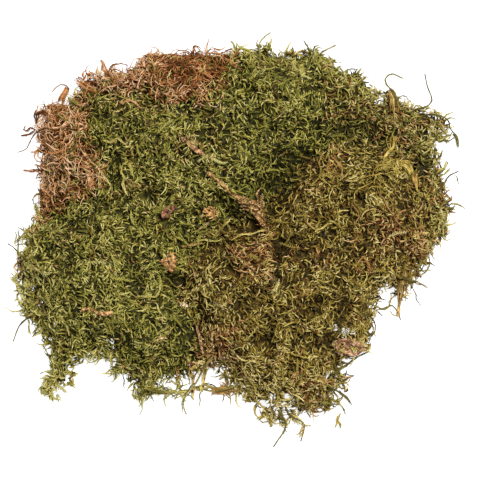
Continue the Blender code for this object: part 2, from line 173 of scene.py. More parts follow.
# Kinds of node with their settings, for add
PRODUCT = ("ShaderNodeMath", {"operation": "MULTIPLY"})
SUM = ("ShaderNodeMath", {"operation": "ADD"})
STORED = ("GeometryNodeInputNamedAttribute", {"data_type": "FLOAT"})
STORED_VECTOR = ("GeometryNodeInputNamedAttribute", {"data_type": "FLOAT_VECTOR"})
RANDOM = ("FunctionNodeRandomValue", {"data_type": "FLOAT"})
TINTED = ("ShaderNodeMix", {"data_type": "RGBA", "blend_type": "MULTIPLY"})


def set_stops(colours, stops):
    """Gives a color ramp its stops, each a place and a linear colour."""
    elements = colours.node.color_ramp.elements
    for i, (at, colour) in enumerate(stops):
        stop = elements[i] if i < 2 else elements.new(at)
        stop.position = at
        stop.color = (*colour[:3], 1.0)
    return colours


def group_tree(name, **inputs):
    """An empty Geometry Nodes tree with named inputs, listed by their kind; gives it and their sockets."""
    tree = bpy.data.node_groups.new(name, "GeometryNodeTree")
    for kind, labels in inputs.items():
        for label in labels:
            tree.interface.new_socket(label, in_out="INPUT", socket_type="NodeSocket" + kind)
    tree.interface.new_socket("Geometry", in_out="OUTPUT", socket_type="NodeSocketGeometry")
    return tree, tree.nodes.new("NodeGroupInput").outputs


def give(tree, geometry):
    tree.links.new(geometry, tree.nodes.new("NodeGroupOutput").inputs["Geometry"])
    return tree


def set_inputs(modifier, values):
    for item in modifier.node_group.interface.items_tree:
        if item.item_type == "SOCKET" and item.in_out == "INPUT" and item.name in values:
            modifier[item.identifier] = values[item.name]


def linked(name, data, collection=None):
    """A new object with this data, in the scene or in a collection."""
    obj = bpy.data.objects.new(name, data)
    (collection or bpy.context.scene.collection).objects.link(obj)
    return obj


def mesh_object(name, points, faces, edges=(), collection=None):
    mesh = bpy.data.meshes.new(name)
    mesh.from_pydata([tuple(p) for p in points], edges, [tuple(f) for f in faces])
    mesh.update()
    return linked(name, mesh, collection)


def store(mesh, name, values):
    """Stores one number or one vector for each vertex."""
    values = np.asarray(values, np.float32)
    kind, key = ("FLOAT", "value") if values.ndim == 1 else ("FLOAT_VECTOR", "vector")
    mesh.attributes.new(name, kind, "POINT").data.foreach_set(key, values.ravel())


def drop(obj):
    mesh = obj.data
    bpy.data.objects.remove(obj)
    if mesh and mesh.users == 0:
        bpy.data.meshes.remove(mesh)


LEAST_HEIGHT = 0.25 * MM


def grown(guide, tree, values):
    """The guide with a Geometry Nodes tree's result in its place, as one plain mesh above the floor."""
    modifier = guide.modifiers.new("grow", "NODES")
    modifier.node_group = tree
    set_inputs(modifier, values)
    graph = bpy.context.evaluated_depsgraph_get()
    mesh = bpy.data.meshes.new_from_object(guide.evaluated_get(graph), preserve_all_data_layers=True,
                                           depsgraph=graph)
    places = np.empty(3 * len(mesh.vertices), np.float32)
    mesh.vertices.foreach_get("co", places)
    places[2::3] = np.maximum(places[2::3], LEAST_HEIGHT)
    mesh.vertices.foreach_set("co", places)
    mesh.update()
    piece = linked(guide.name.removesuffix("_guide"), mesh)
    drop(guide)
    return piece


def dress(piece, slot, node):
    """Puts a finished piece on the clump's one body, in place of this node."""
    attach(piece, "root")
    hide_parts(node)


# --- Materials ---

LIVING = 0.5  # living shoots use the palette up to here, dead ones the rest
LAST_LIVING = 0.98 * LIVING
LEAF_ROWS = 7.0  # rows of leaves along a shoot
# What the palette is multiplied by: along a shoot, from its foot to its tip, and along each leaf. Along a
# shoot the foot is browner with age and darker with painted shade, and the tip has a painted highlight;
# along each leaf the base has painted shade where the leaf below overlaps it, and the point a painted
# highlight
AGE_LIGHT = ((0.0, (0.22, 0.17, 0.06)), (0.3, (0.68, 0.61, 0.44)), (0.75, (1.0, 1.0, 1.0)),
             (1.0, (1.05, 1.07, 1.08)))
LEAF_LIGHT = ((0.0, (0.62, 0.62, 0.60)), (0.55, (1.0, 1.0, 1.0)), (0.9, (1.13, 1.13, 1.12)))
FIBRE_DETAIL, FIBRE_ROUGHNESS, FIBRE_BUMP = 4.0, 0.6, 0.7
BLOTCH_DETAIL, BLOTCH_SIZE = 2.0, 4.0  # its size is in fibre widths
TONE_FROM, TONE_TO = 0.39, 0.62  # the noise between these fills the palette of wood, bark and leaf


def dry_material(name, roughness, shine):
    """A new material of a dry surface, with its tree and its shader."""
    material = bpy.data.materials.new(name)
    material.use_nodes = True
    shader = material.node_tree.nodes["Principled BSDF"]
    shader.inputs["Roughness"].default_value = roughness
    shader.inputs["Specular IOR Level"].default_value = shine
    return material, material.node_tree, shader


def evenly(codes, first=0.0, last=1.0, ends=True):
    """A palette's stops at even places from first to last, or to one step before last."""
    step = (last - first) / (len(codes) - ends)
    return [(first + step * i, linear(code)) for i, code in enumerate(codes)]


def plant_material(name, living, dead):
    """Dry moss leaf: thin and matt, with hardly any shine. Each shoot has one place in the palette (u), and
    goes from a brown foot, darkened further by painted shade, to a tip with a painted highlight (v). The
    leaves overlap like scales along it, each with painted shade at its base and a painted highlight
    towards its point."""
    material, tree, shader = dry_material(name, roughness=0.75, shine=0.1)
    shader.inputs["IOR"].default_value = 1.42
    place = add(tree, "ShaderNodeUVMap", {"uv_map": "shoot"})
    parts = add(tree, "ShaderNodeSeparateXYZ", None, {"Vector": place}).node.outputs
    palette = set_stops(add(tree, "ShaderNodeValToRGB", None, {"Fac": parts["X"]}), [
        *evenly(living, 0.0, LIVING, ends=False), (LAST_LIVING, linear(living[-1])),
        *evenly(dead, LIVING, 2 * LIVING)])
    # Along the shoot: browner with age and darker with painted shade at the foot, a painted highlight at the
    # tip
    age_and_shade = set_stops(add(tree, "ShaderNodeValToRGB", None, {"Fac": parts["Y"]}), AGE_LIGHT)
    # Along each leaf: painted shade at its base, a painted highlight at its point
    rows = add(tree, *PRODUCT, {0: parts["Y"], 1: LEAF_ROWS})
    row = add(tree, "ShaderNodeMath", {"operation": "FRACT"}, {0: rows})
    leaf = set_stops(add(tree, "ShaderNodeValToRGB", None, {"Fac": row}), LEAF_LIGHT)
    aged_and_shaded = add(tree, *TINTED, {"Factor": 1.0, "A": palette, "B": age_and_shade})
    tree.links.new(add(tree, *TINTED, {"Factor": 1.0, "A": aged_and_shaded, "B": leaf}), shader.inputs["Base Color"])
    return material


def grained_material(name, colours, turn, grain, stretch, relief):
    """Dry wood, bark or leaf: streaks that run along the piece, stretched noise in the fibres'
    direction, with pale and dark fibres and a fibrous relief."""
    material, tree, shader = dry_material(name, roughness=0.78, shine=0.3)
    place = add(tree, "ShaderNodeTexCoord").node.outputs["Object"]
    turned = add(tree, "ShaderNodeVectorRotate", {"rotation_type": "Z_AXIS"},
                 {"Vector": place, "Angle": -math.radians(turn)})
    drawn = add(tree, "ShaderNodeVectorMath", {"operation": "MULTIPLY"},
                {0: turned, 1: (1 / (grain * stretch), 1 / grain, 1 / grain)})
    streaks = add(tree, "ShaderNodeTexNoise", None, {
        "Vector": drawn, "Scale": 1.0, "Detail": FIBRE_DETAIL, "Roughness": FIBRE_ROUGHNESS})
    blotches = add(tree, "ShaderNodeTexNoise", None, {
        "Vector": place, "Scale": 1 / (BLOTCH_SIZE * grain), "Detail": BLOTCH_DETAIL})
    halves = [add(tree, *PRODUCT, {0: pattern, 1: 0.5}) for pattern in (streaks, blotches)]
    mixed = add(tree, *SUM, dict(enumerate(halves)))
    spread = add(tree, "ShaderNodeMapRange", None,
                 {"Value": mixed, "From Min": TONE_FROM, "From Max": TONE_TO})
    colour = set_stops(add(tree, "ShaderNodeValToRGB", None, {"Fac": spread}), evenly(colours))
    tree.links.new(colour, shader.inputs["Base Color"])
    bump = add(tree, "ShaderNodeBump", None, {"Strength": FIBRE_BUMP, "Distance": relief, "Height": streaks})
    tree.links.new(bump, shader.inputs["Normal"])
    return material


# --- Single shoots, fronds and strands ---

FOOT_YAW = 0.3  # how far a shoot's foot may point to one side
BEND_RANGE = (0.3, 1.0)  # of the bend that its kind has at most
LEAF_BODY, LEAF_SWELL = 0.6, 0.5  # a shoot's least width, and how much wider it is in the middle
LEAF_UNEVEN = (0.92, 1.08)
LENGTH_RANGE, RADIUS_RANGE = (0.75, 1.2), (0.8, 1.2)


def wandering_path(length, count, bend, wander, rng):
    """Points of a shoot that starts along +X and curls to one side as it grows."""
    step = length / (count - 1)
    yaw, pitch = rng.uniform(-FOOT_YAW, FOOT_YAW), 0.0
    turn = rng.choice((-1, 1)) * bend * rng.uniform(*BEND_RANGE)
    points = [Vector((0, 0, 0))]
    for _ in range(count - 1):
        yaw += turn / (count - 1) + rng.uniform(-wander, wander)
        pitch += rng.uniform(-wander, wander)
        heading = Vector((math.cos(yaw) * math.cos(pitch), math.sin(yaw) * math.cos(pitch), math.sin(pitch)))
        points.append(points[-1] + heading * step)
    return points


def ring_tube(points, radii):
    """Points and faces of a three-sided tube whose rings turn by 60 degrees each, which gives the
    scaly look of overlapping leaves; it is closed at the foot and comes to a point at the tip."""
    verts = []
    for i, (point, radius) in enumerate(zip(points[:-1], radii)):
        ahead = (points[i + 1] - points[max(i - 1, 0)]).normalized()
        side = ahead.cross(UP).normalized()
        up = side.cross(ahead)
        for k in range(3):
            angle = math.tau * (k + i / 2) / 3
            verts.append(point + radius * (side * math.cos(angle) + up * math.sin(angle)))
    faces = [(0, 1, 2)]
    for a in range(0, len(verts) - 3, 3):
        for k in range(3):
            n = (k + 1) % 3
            faces.append((a + n, a + k, a + 3 + k))
            faces.append((a + n, a + 3 + k, a + 3 + n))
    last = len(verts) - 3
    faces += [(last + (k + 1) % 3, last + k, len(verts)) for k in range(3)]
    return verts + [points[-1]], faces


def leaf_radii(radius, count, rng, flare):
    """Radii along a shoot: narrow foot, full middle with bunched leaves, tapered tip."""
    radii = []
    for i in range(count):
        t = i / (count - 1)
        body = LEAF_BODY + LEAF_SWELL * math.sin(math.pi * min(1.0, t * 0.9 + 0.1))
        radii.append(radius * body * (1 + flare * (1 if i % 2 else -1)) * rng.uniform(*LEAF_UNEVEN))
    return radii


def growth(rings):
    """How far along its shoot each vertex of a ring tube is, from 0 to 1."""
    return [i // 3 / rings for i in range(3 * rings)] + [1.0]


BLADE_RIDGE = 0.6  # its height for each width


def blade(foot, heading, reach, width):
    """Points and faces of one small pointed leaf: a slim three-sided spike."""
    flank = heading.cross(UP).normalized() * width / 2
    verts = [foot + flank, foot - flank, foot + UP * width * BLADE_RIDGE, foot + heading * reach]
    return verts, [(0, 2, 1), (0, 3, 2), (2, 3, 1), (1, 3, 0)]


def variant(name, verts, faces, along, collection=None):
    """One kind of shoot or leaf, with each vertex's place between its foot and its tip."""
    obj = mesh_object(name, verts, faces, collection=collection)
    store(obj.data, "along", along)
    return obj


def make_shoots(name, count, length, radius, seed, rings, bend, wander, flare):
    """A collection of slightly different shoots."""
    rng = random.Random(seed)
    kinds = bpy.data.collections.new(name)
    for n in range(count):
        points = wandering_path(length * rng.uniform(*LENGTH_RANGE), rings + 1, bend, wander, rng)
        radii = leaf_radii(radius * rng.uniform(*RADIUS_RANGE), rings, rng, flare)
        verts, faces = ring_tube(points, radii)
        variant(f"{name}_{n}", verts, faces, growth(rings), kinds)
    return kinds


FROND_RINGS = 4
FROND_PAIRS = 8
FROND_LENGTHS, FROND_BEND, FROND_WANDER = (0.8, 1.2), 0.9, 0.06
FROND_STEM, FROND_TAPER = 0.7, 0.5  # its half width as a share of a shoot's, and how much of it is lost
FROND_AGE_AND_SHADE, FROND_AGE_AND_SHADE_SPAN = 0.3, 0.5  # its place in AGE_LIGHT at its foot, and how far it goes on; low places are browner with age and darker with painted shade
FROND_LEAN, LEAN_UNEVEN = (0.5, 0.85), (0.85, 1.15)  # between its stem and branchlets, in radians
BRANCHLETS_FROM, BRANCHLETS_OVER, STAGGER = 0.1, 0.85, 0.3  # along it, and how far one side is ahead
BRANCHLET_LIFT = (-0.1, 0.35)
BRANCHLET_REACH, REACH_UNEVEN = 0.24, (0.5, 1.2)  # for each length of the frond
REACH_FOOT, REACH_LOST = 1.2, 0.75  # of that at the frond's foot, and how much less at its tip
BRANCHLET_WIDTH = 1.5  # for each half width of a shoot
BRANCHLET_ALONG = (0.4, 0.4, 0.55, 0.85)


def make_fronds(name, count, length, radius, seed):
    """A collection of feathery fronds: a curved stem with a row of pointed branchlets on each side."""
    rng = random.Random(seed)
    kinds = bpy.data.collections.new(name)
    for n in range(count):
        own_length = length * rng.uniform(*FROND_LENGTHS)
        points = wandering_path(own_length, FROND_RINGS + 1, FROND_BEND, FROND_WANDER, rng)
        radii = [radius * FROND_STEM * (1 - FROND_TAPER * i / FROND_RINGS) for i in range(FROND_RINGS)]
        verts, faces = ring_tube(points, radii)
        along = [FROND_AGE_AND_SHADE + FROND_AGE_AND_SHADE_SPAN * a for a in growth(FROND_RINGS)]
        lean = rng.uniform(*FROND_LEAN)
        for b in range(2 * FROND_PAIRS):
            side = 1 if b % 2 else -1
            t = BRANCHLETS_FROM + BRANCHLETS_OVER * (b // 2 + STAGGER * (b % 2)) / FROND_PAIRS
            i = min(int(t * FROND_RINGS), FROND_RINGS - 1)
            foot = points[i].lerp(points[i + 1], t * FROND_RINGS - i)
            ahead = (points[i + 1] - points[i]).normalized()
            across = Vector((-ahead.y, ahead.x, 0)) * side
            lift = UP * rng.uniform(*BRANCHLET_LIFT)
            angle = lean * rng.uniform(*LEAN_UNEVEN)
            heading = (ahead * math.cos(angle) + across * math.sin(angle) + lift).normalized()
            reach = length * BRANCHLET_REACH * (REACH_FOOT - REACH_LOST * t) * rng.uniform(*REACH_UNEVEN)
            leaf, sides = blade(foot, heading, reach, radius * BRANCHLET_WIDTH)
            faces += [tuple(v + len(verts) for v in side_face) for side_face in sides]
            verts += leaf
            along += BRANCHLET_ALONG
        variant(f"{name}_{n}", verts, faces, along, kinds)
    return kinds


# --- Geometry Nodes ---

SIZE_RANGE = (0.7, 1.25)  # of a single shoot
DEPTH_POWER = 1.5  # above 1, most tips stay near the surface
ROLL_MOST = 0.5
LIVING_TOP = 0.96 * LIVING  # a living shoot's place in the palette at most
DEAD_FROM, DEAD_OVER = 1.01 * LIVING, 0.98 * LIVING  # a dead one's least place, and how far it goes on


def turn_by(tree, rotation, **angles):
    """A rotation with another one after it, by angles about its own axes."""
    euler = add(tree, "ShaderNodeCombineXYZ", None, angles)
    turn = add(tree, "FunctionNodeEulerToRotation", None, {"Euler": euler})
    return add(tree, "FunctionNodeRotateRotation", {"rotation_space": "LOCAL"},
               {"Rotation": rotation, "Rotate By": turn})


def scatter_tree():
    """Plants one kind of shoot over a guide surface. Each grows along the guide's combed direction,
    turned by a random yaw, pitch and roll, with its tip at or a little below the surface."""
    tree, g = group_tree(
        "plant_shoots", Geometry=["Geometry"], Collection=["Kinds"], Int=["Kind count", "Seed"],
        Float=["Density", "Length", "Depth", "Floor", "Lowest pitch", "Highest pitch", "Yaw spread",
               "Tint spread", "Dead share"])

    def chance(low, high, number):
        seed = add(tree, *SUM, {0: g["Seed"], 1: float(number)})
        return add(tree, *RANDOM, {"Min": low, "Max": high, "Seed": seed})

    field = {name: add(tree, *STORED, {"Name": name})
             for name in ("density", "size", "rise", "mix", "tint", "dead")}
    density = add(tree, *PRODUCT, {0: field["density"], 1: g["Density"]})
    scattered = add(tree, "GeometryNodeDistributePointsOnFaces", None,
                    {"Mesh": g["Geometry"], "Density": density, "Seed": g["Seed"]}).node.outputs
    points, normal = scattered["Points"], scattered["Normal"]
    size = add(tree, *PRODUCT, {0: chance(*SIZE_RANGE, 1), 1: field["size"]})
    pitch = chance(g["Lowest pitch"], g["Highest pitch"], 2)
    pitch = add(tree, *PRODUCT, {0: pitch, 1: field["rise"]})
    yaw = add(tree, *PRODUCT, {0: chance(-1.0, 1.0, 3), 1: g["Yaw spread"]})
    climb = add(tree, "ShaderNodeMath", {"operation": "SINE"}, {0: pitch})
    for factor in (g["Length"], size):
        climb = add(tree, *PRODUCT, {0: climb, 1: factor})
    sunk = add(tree, "ShaderNodeMath", {"operation": "POWER"}, {0: chance(0.0, 1.0, 5), 1: DEPTH_POWER})
    sunk = add(tree, *PRODUCT, {0: sunk, 1: g["Depth"]})
    below = add(tree, *PRODUCT, {0: add(tree, *SUM, {0: climb, 1: sunk}), 1: -1.0})
    offset = add(tree, "ShaderNodeVectorMath", {"operation": "SCALE"}, {"Vector": normal, "Scale": below})
    axes = add(tree, "FunctionNodeAxesToRotation", {"primary_axis": "Z", "secondary_axis": "X"},
               {"Primary Axis": normal, "Secondary Axis": add(tree, *STORED_VECTOR, {"Name": "comb"})})
    down = add(tree, *PRODUCT, {0: pitch, 1: -1.0})
    turned = turn_by(tree, axes, X=chance(-ROLL_MOST, ROLL_MOST, 4), Y=down, Z=yaw)
    spread = add(tree, *PRODUCT, {0: g["Tint spread"], 1: field["mix"]})
    own = add(tree, *PRODUCT, {0: chance(-1.0, 1.0, 6), 1: spread})
    living = add(tree, "ShaderNodeMath", {"operation": "ADD", "use_clamp": True}, {0: field["tint"], 1: own})
    living = add(tree, *PRODUCT, {0: living, 1: LIVING_TOP})
    dead = add(tree, *PRODUCT, {0: chance(0.0, 1.0, 7), 1: DEAD_OVER})
    dead = add(tree, *SUM, {0: dead, 1: DEAD_FROM})
    dead_chance = add(tree, *PRODUCT, {0: field["dead"], 1: g["Dead share"]})
    is_dead = add(tree, "ShaderNodeMath", {"operation": "LESS_THAN"},
                  {0: chance(0.0, 1.0, 8), 1: dead_chance})
    tint = add(tree, "ShaderNodeMix", {"data_type": "FLOAT"}, {"Factor": is_dead, "A": living, "B": dead})
    last = add(tree, *SUM, {0: g["Kind count"], 1: -1.0})
    pick = add(tree, "FunctionNodeRandomValue", {"data_type": "INT"},
               {"Min": 0, "Max": last, "Seed": g["Seed"]})
    for name, kind, value in (("spot_tint", "FLOAT", tint), ("spot_size", "FLOAT", size),
                              ("spot_turn", "QUATERNION", turned), ("spot_lift", "FLOAT_VECTOR", offset)):
        points = add(tree, "GeometryNodeStoreNamedAttribute", {"data_type": kind, "domain": "POINT"},
                     {"Geometry": points, "Name": name, "Value": value})
    points = add(tree, "GeometryNodeSetPosition", None,
                 {"Geometry": points, "Offset": add(tree, *STORED_VECTOR, {"Name": "spot_lift"})})
    position = add(tree, "GeometryNodeInputPosition")
    spot = add(tree, "ShaderNodeSeparateXYZ", None, {"Vector": position}).node.outputs
    height = add(tree, "ShaderNodeMath", {"operation": "MAXIMUM"}, {0: spot["Z"], 1: g["Floor"]})
    raised = add(tree, "ShaderNodeCombineXYZ", None, {"X": spot["X"], "Y": spot["Y"], "Z": height})
    points = add(tree, "GeometryNodeSetPosition", None, {"Geometry": points, "Position": raised})
    kinds = add(tree, "GeometryNodeCollectionInfo", None,
                {"Collection": g["Kinds"], "Separate Children": True, "Reset Children": True})
    turn = add(tree, "GeometryNodeInputNamedAttribute", {"data_type": "QUATERNION"}, {"Name": "spot_turn"})
    return give(tree, add(tree, "GeometryNodeInstanceOnPoints", None, {
        "Points": points, "Instance": kinds, "Pick Instance": True, "Instance Index": pick,
        "Rotation": turn, "Scale": add(tree, *STORED, {"Name": "spot_size"})}))


def finish_tree(tree, parts, material):
    """Joins the parts of a tree, makes them one real mesh with its two maps and sets its material."""
    joined = tree.nodes.new("GeometryNodeJoinGeometry")
    for part in parts:
        tree.links.new(part, joined.inputs["Geometry"])
    real = add(tree, "GeometryNodeRealizeInstances", None, {"Geometry": joined.outputs[0]})
    place = add(tree, "ShaderNodeCombineXYZ", None, {
        "X": add(tree, *STORED, {"Name": "spot_tint"}), "Y": add(tree, *STORED, {"Name": "along"})})
    for name in ("shoot", "OFBake"):
        real = add(tree, "GeometryNodeStoreNamedAttribute", {"data_type": "FLOAT2", "domain": "CORNER"},
                   {"Geometry": real, "Name": name, "Value": place})
    smooth = add(tree, "GeometryNodeSetShadeSmooth", None, {"Geometry": real, "Shade Smooth": True})
    return give(tree, add(tree, "GeometryNodeSetMaterial", None, {"Geometry": smooth, "Material": material}))


SEED_STEP = 20
# What a mat's cover is planted with: on which surface, the kind, whose density, and its own values
PLANTINGS = (
    ("top", "Shoot", "Shoot", {
        "Depth": 3.0 * MM, "Floor": 1.0 * MM, "Lowest pitch": 0.05, "Highest pitch": 0.8, "Yaw spread": 1.0}),
    ("top", "Frond", "Frond", {
        "Depth": 1.0 * MM, "Floor": 1.4 * MM, "Lowest pitch": 0.0, "Highest pitch": 0.22, "Yaw spread": 1.4,
        "Tint spread": 0.26, "Dead share": 0.2}),
    ("top", "Strand", "Strand", {
        "Depth": 1.8 * MM, "Floor": 1.0 * MM, "Lowest pitch": 0.0, "Highest pitch": 0.3,
        "Tint spread": 0.26}),
    ("Underside", "Shoot", "Underside", {
        "Depth": 1.2 * MM, "Floor": 0.8 * MM, "Lowest pitch": -0.03, "Highest pitch": 0.03, "Yaw spread": 3.1,
        "Dead share": 4.0}),
)


def cover_tree(scatter):
    """A mat's cover: leafy shoots, fronds and wiry strands on top, stems underneath, old stems inside."""
    tree, g = group_tree(
        "moss_cover", Geometry=["Geometry"], Object=["Underside", "Old stems"],
        Collection=["Shoots", "Fronds", "Strands"], Int=["Kind count", "Seed"], Material=["Material"],
        Float=["Shoot density", "Frond density", "Strand density", "Underside density", "Shoot length",
               "Frond length", "Strand length", "Strand yaw", "Tint spread"])
    surfaces = {"top": g["Geometry"]}
    for name in ("Underside", "Old stems"):
        found = add(tree, "GeometryNodeObjectInfo", None, {"Object": g[name]})
        surfaces[name] = found.node.outputs["Geometry"]
    parts = []
    for step, (surface, kind, density, own) in enumerate(PLANTINGS):
        node = tree.nodes.new("GeometryNodeGroup")
        node.node_tree = scatter
        values = {"Geometry": surfaces[surface], "Kinds": g[kind + "s"], "Kind count": g["Kind count"],
                  "Density": g[density + " density"], "Length": g[kind + " length"], "Dead share": 1.0,
                  "Tint spread": g["Tint spread"], "Yaw spread": g["Strand yaw"],
                  "Seed": add(tree, *SUM, {0: g["Seed"], 1: float(step * SEED_STEP)})}
        for key, value in {**values, **own}.items():
            set_socket(tree, node.inputs[key], value)
        parts.append(node.outputs[0])
    return finish_tree(tree, [*parts, surfaces["Old stems"]], g["Material"])


STEM_SIDES = 5
STEM_FOOT, STEM_RISE = 0.25, 0.35  # a stem's place in AGE_LIGHT at its foot, and how far it goes on
LEAF_TURN = 2.4  # radians round the stem from one leaf to the next
LEAF_WOBBLE = 0.5
LEAF_RANGE = (0.65, 1.2)  # of a single leaf's length


def stem_tree():
    """A leafy stem along each line of edges: a tapering tube with pointed leaves in a spiral."""
    tree, g = group_tree(
        "leafy_stems", Geometry=["Geometry"], Object=["Leaf"], Int=["Seed"], Material=["Material"],
        Float=["Step", "Leaf gap", "Leaf reach", "Leaf lean", "Stem share"])
    line = add(tree, "GeometryNodeMeshToCurve", None, {"Mesh": g["Geometry"]})
    line = add(tree, "GeometryNodeResampleCurve", {"mode": "LENGTH"}, {"Curve": line, "Length": g["Step"]})
    along = add(tree, *PRODUCT, {0: add(tree, "GeometryNodeSplineParameter"), 1: STEM_RISE})
    along = add(tree, *SUM, {0: along, 1: STEM_FOOT})
    marked = add(tree, "GeometryNodeStoreNamedAttribute", {"data_type": "FLOAT", "domain": "POINT"},
                 {"Geometry": line, "Name": "along", "Value": along})
    ring = add(tree, "GeometryNodeCurvePrimitiveCircle", None, {"Resolution": STEM_SIDES, "Radius": 1.0})
    girth = add(tree, *STORED, {"Name": "girth"})
    width = add(tree, *PRODUCT, {0: girth, 1: g["Stem share"]})
    tube = add(tree, "GeometryNodeCurveToMesh", None,
               {"Curve": marked, "Profile Curve": ring, "Fill Caps": True, "Scale": width})
    spots = add(tree, "GeometryNodeCurveToPoints", {"mode": "LENGTH"},
                {"Curve": line, "Length": g["Leaf gap"]}).node.outputs
    axes = add(tree, "FunctionNodeAxesToRotation", {"primary_axis": "X", "secondary_axis": "Z"},
               {"Primary Axis": spots["Tangent"], "Secondary Axis": spots["Normal"]})
    wobble = add(tree, *RANDOM, {"Min": -LEAF_WOBBLE, "Max": LEAF_WOBBLE, "Seed": g["Seed"]})
    spiral = add(tree, *PRODUCT, {0: add(tree, "GeometryNodeInputIndex"), 1: LEAF_TURN})
    spiral = add(tree, *SUM, {0: spiral, 1: wobble})
    up = add(tree, *PRODUCT, {0: g["Leaf lean"], 1: -1.0})
    turned = turn_by(tree, turn_by(tree, axes, X=spiral), Y=up)
    least, most = LEAF_RANGE
    seed = add(tree, *SUM, {0: g["Seed"], 1: 1.0})
    scale = add(tree, *PRODUCT, {0: girth, 1: g["Leaf reach"]})
    scale = add(tree, *PRODUCT, {0: scale, 1: add(tree, *RANDOM, {"Min": least, "Max": most, "Seed": seed})})
    leaf = add(tree, "GeometryNodeObjectInfo", None, {"Object": g["Leaf"]}).node.outputs["Geometry"]
    leaves = add(tree, "GeometryNodeInstanceOnPoints", None, {
        "Points": spots["Points"], "Instance": leaf, "Rotation": turned, "Scale": scale})
    return finish_tree(tree, [tube, leaves], g["Material"])


# --- The mats' surfaces, read from their solids ---

GRID = 2.0 * MM
SEAM_CELLS = 2  # gaps between mats up to twice this wide are grown over
BRIDGE_CELLS = 5  # valleys between mats up to twice this wide are filled
SEAM_FILL = 0.95
DARK_SEAMS = {("green_mat", "olive_mat"): 0.45, ("under_mat", "olive_mat"): 0.6}  # how far these are filled
SPARE_CELLS = 3  # of the grid past the clump on each side
TUFT_ACROSS, TUFT_RELIEF, TUFT_LAYER = 12.5, 2.2 * MM, 4.0  # the last is a layer of the noise
KNOT_ACROSS, KNOT_RELIEF, KNOT_LAYER = 5.0, 0.9 * MM, 9.0
RELIEF_OVER = 14 * MM  # from the rim, where tufts and knots are flat
DISTANCE_CHUNKS = 20  # keep the table of distances small
# Dark hollows between the tufts: plan place, spread and depth in millimetres
HOLLOWS = (
    (28, 33, 6, 8), (21, 27, 5, 11), (22, 20, 5, 6), (36, 42, 5, 6), (25, 45, 4, 4), (-1, 14, 3, 6),
    (9, 8, 4, 9), (1, 6, 3, 6), (-10, -8, 5, 8), (25, -3, 4, 9), (-30, -22, 4, 4), (61, 60, 5, 6),
    (70, 62, 4, 3), (45, 60, 4, 6), (103, 38, 4, 6), (70, 22, 3, 5), (54, 4, 3, 5), (60, 14, 4, 5),
    (-86, 29, 3, 6), (-68, 45, 4, 7), (-66, 34, 3, 6), (-63, 57, 3, 6), (-75, 67, 4, 7), (-76, 50, 3, 6),
    (-97, 14, 4, 6), (42, -39, 4, 6), (-27, -60, 5, 5), (-27, -47, 4, 4), (5, -37, 3, 5),
    (16, -55, 4, 6), (58, -40, 4, 6), (-3, -15, 2.5, 6), (-33, -74, 4, 5), (-17, 57, 3, 5),
    (-28, -68, 4, 5), (-86, 7, 4, 5),
)
HOLLOW_MOST = 9.0  # millimetres, however many hollows meet
DEAD_TO = 6.0  # no dead shoots in hollows deeper than this many millimetres
HOLLOW_SHADE = 0.038  # palette places down for each millimetre
HOLLOW_THIN = 0.45  # share of the shoots that the deepest hollow lacks
HOLLOW_CALM = 0.05  # share of the shoots' own spread of tints that the deepest hollow takes away
# Gaps near the edges that show the floor: plan place and radius in millimetres
GAPS = (
    (-47, -78, 0.9), (-42, -81, 1.8), (-35, -79, 3.0), (-28, -77, 2.2), (-26, -81, 1.8), (-20, -76, 2.2),
    (-13, -70, 1.3), (-9, -70, 1.0), (-10, -66, 0.9), (-4, -71, 1.2), (-5, -67, 0.9), (-10, -76, 4.0),
    (-3, -78, 1.6), (1, -80, 0.8), (15, -91, 1.2), (19, -92, 2.2), (22, -86, 0.8), (24, -94, 1.8),
    (28, -92, 1.8), (31, -88, 2.2), (31, -93, 2.6), (37, -97, 2.4), (45, -96, 1.8), (25, -99, 2.4),
    (48, -86, 1.4), (55, -87, 2.6), (58, -81, 2.4), (56, -95, 3.0), (52, -76, 1.6), (55, -73, 2.4),
    (49, -92, 1.2), (61, -51, 1.3), (56, -49, 0.9), (66, -51, 0.9), (-68, -57, 1.6), (-80, -69, 4.0),
    (-70, -67, 3.0), (-88, -66, 1.4), (-99, -46, 1.3), (-107, -35, 1.3), (-110, -27, 0.8), (82, 77, 2.6),
    (110, 61, 1.0), (-79, 93, 3.5), (-88, 82, 2.0), (-109, 53, 3.0), (-107, 66, 2.0), (85, -31, 5.0),
    (98, -31, 4.5), (97, -27, 2.5), (88, -30, 2.0), (102, -21, 2.0), (102, -14, 1.4), (1, -88, 3.0),
    (9, -94, 4.5), (77, -54, 3.0), (-108, -56, 3.0), (-118, -33, 2.5), (-96, -83, 3.0), (-56, -87, 2.0),
    (74, 89, 2.5), (22, 108, 3.0),
)
GAP_EDGE = 1.6 * MM  # the shoots get denser over this way from a gap
CORE_GAP = 0.4 * MM  # the old stems keep this much further from a gap
LITTER_SINK = 1.2 * MM  # the tips stand this far above the underside of litter


def around(field, edge=None):
    """Each place's own value and those of its eight neighbours, on a first axis of nine."""
    wide = np.pad(field, 1, mode="edge") if edge is None else np.pad(field, 1, constant_values=edge)
    w, h = field.shape
    return np.stack([wide[i:i + w, j:j + h] for i in range(3) for j in range(3)])


def repeated(step, field, times):
    for _ in range(times):
        field = step(field)
    return field


def spread_mask(mask, times):
    return repeated(lambda m: around(m, False).any(0), mask, times)


def smoothed(field, times):
    return repeated(lambda f: around(f).mean(0), field, times)


def drift(x, y, size, phase):
    """Smooth noise from about -1 to 1 that changes over size millimetres."""
    return noise.noise(Vector((x / MM / size, y / MM / size, phase))) * 1.6


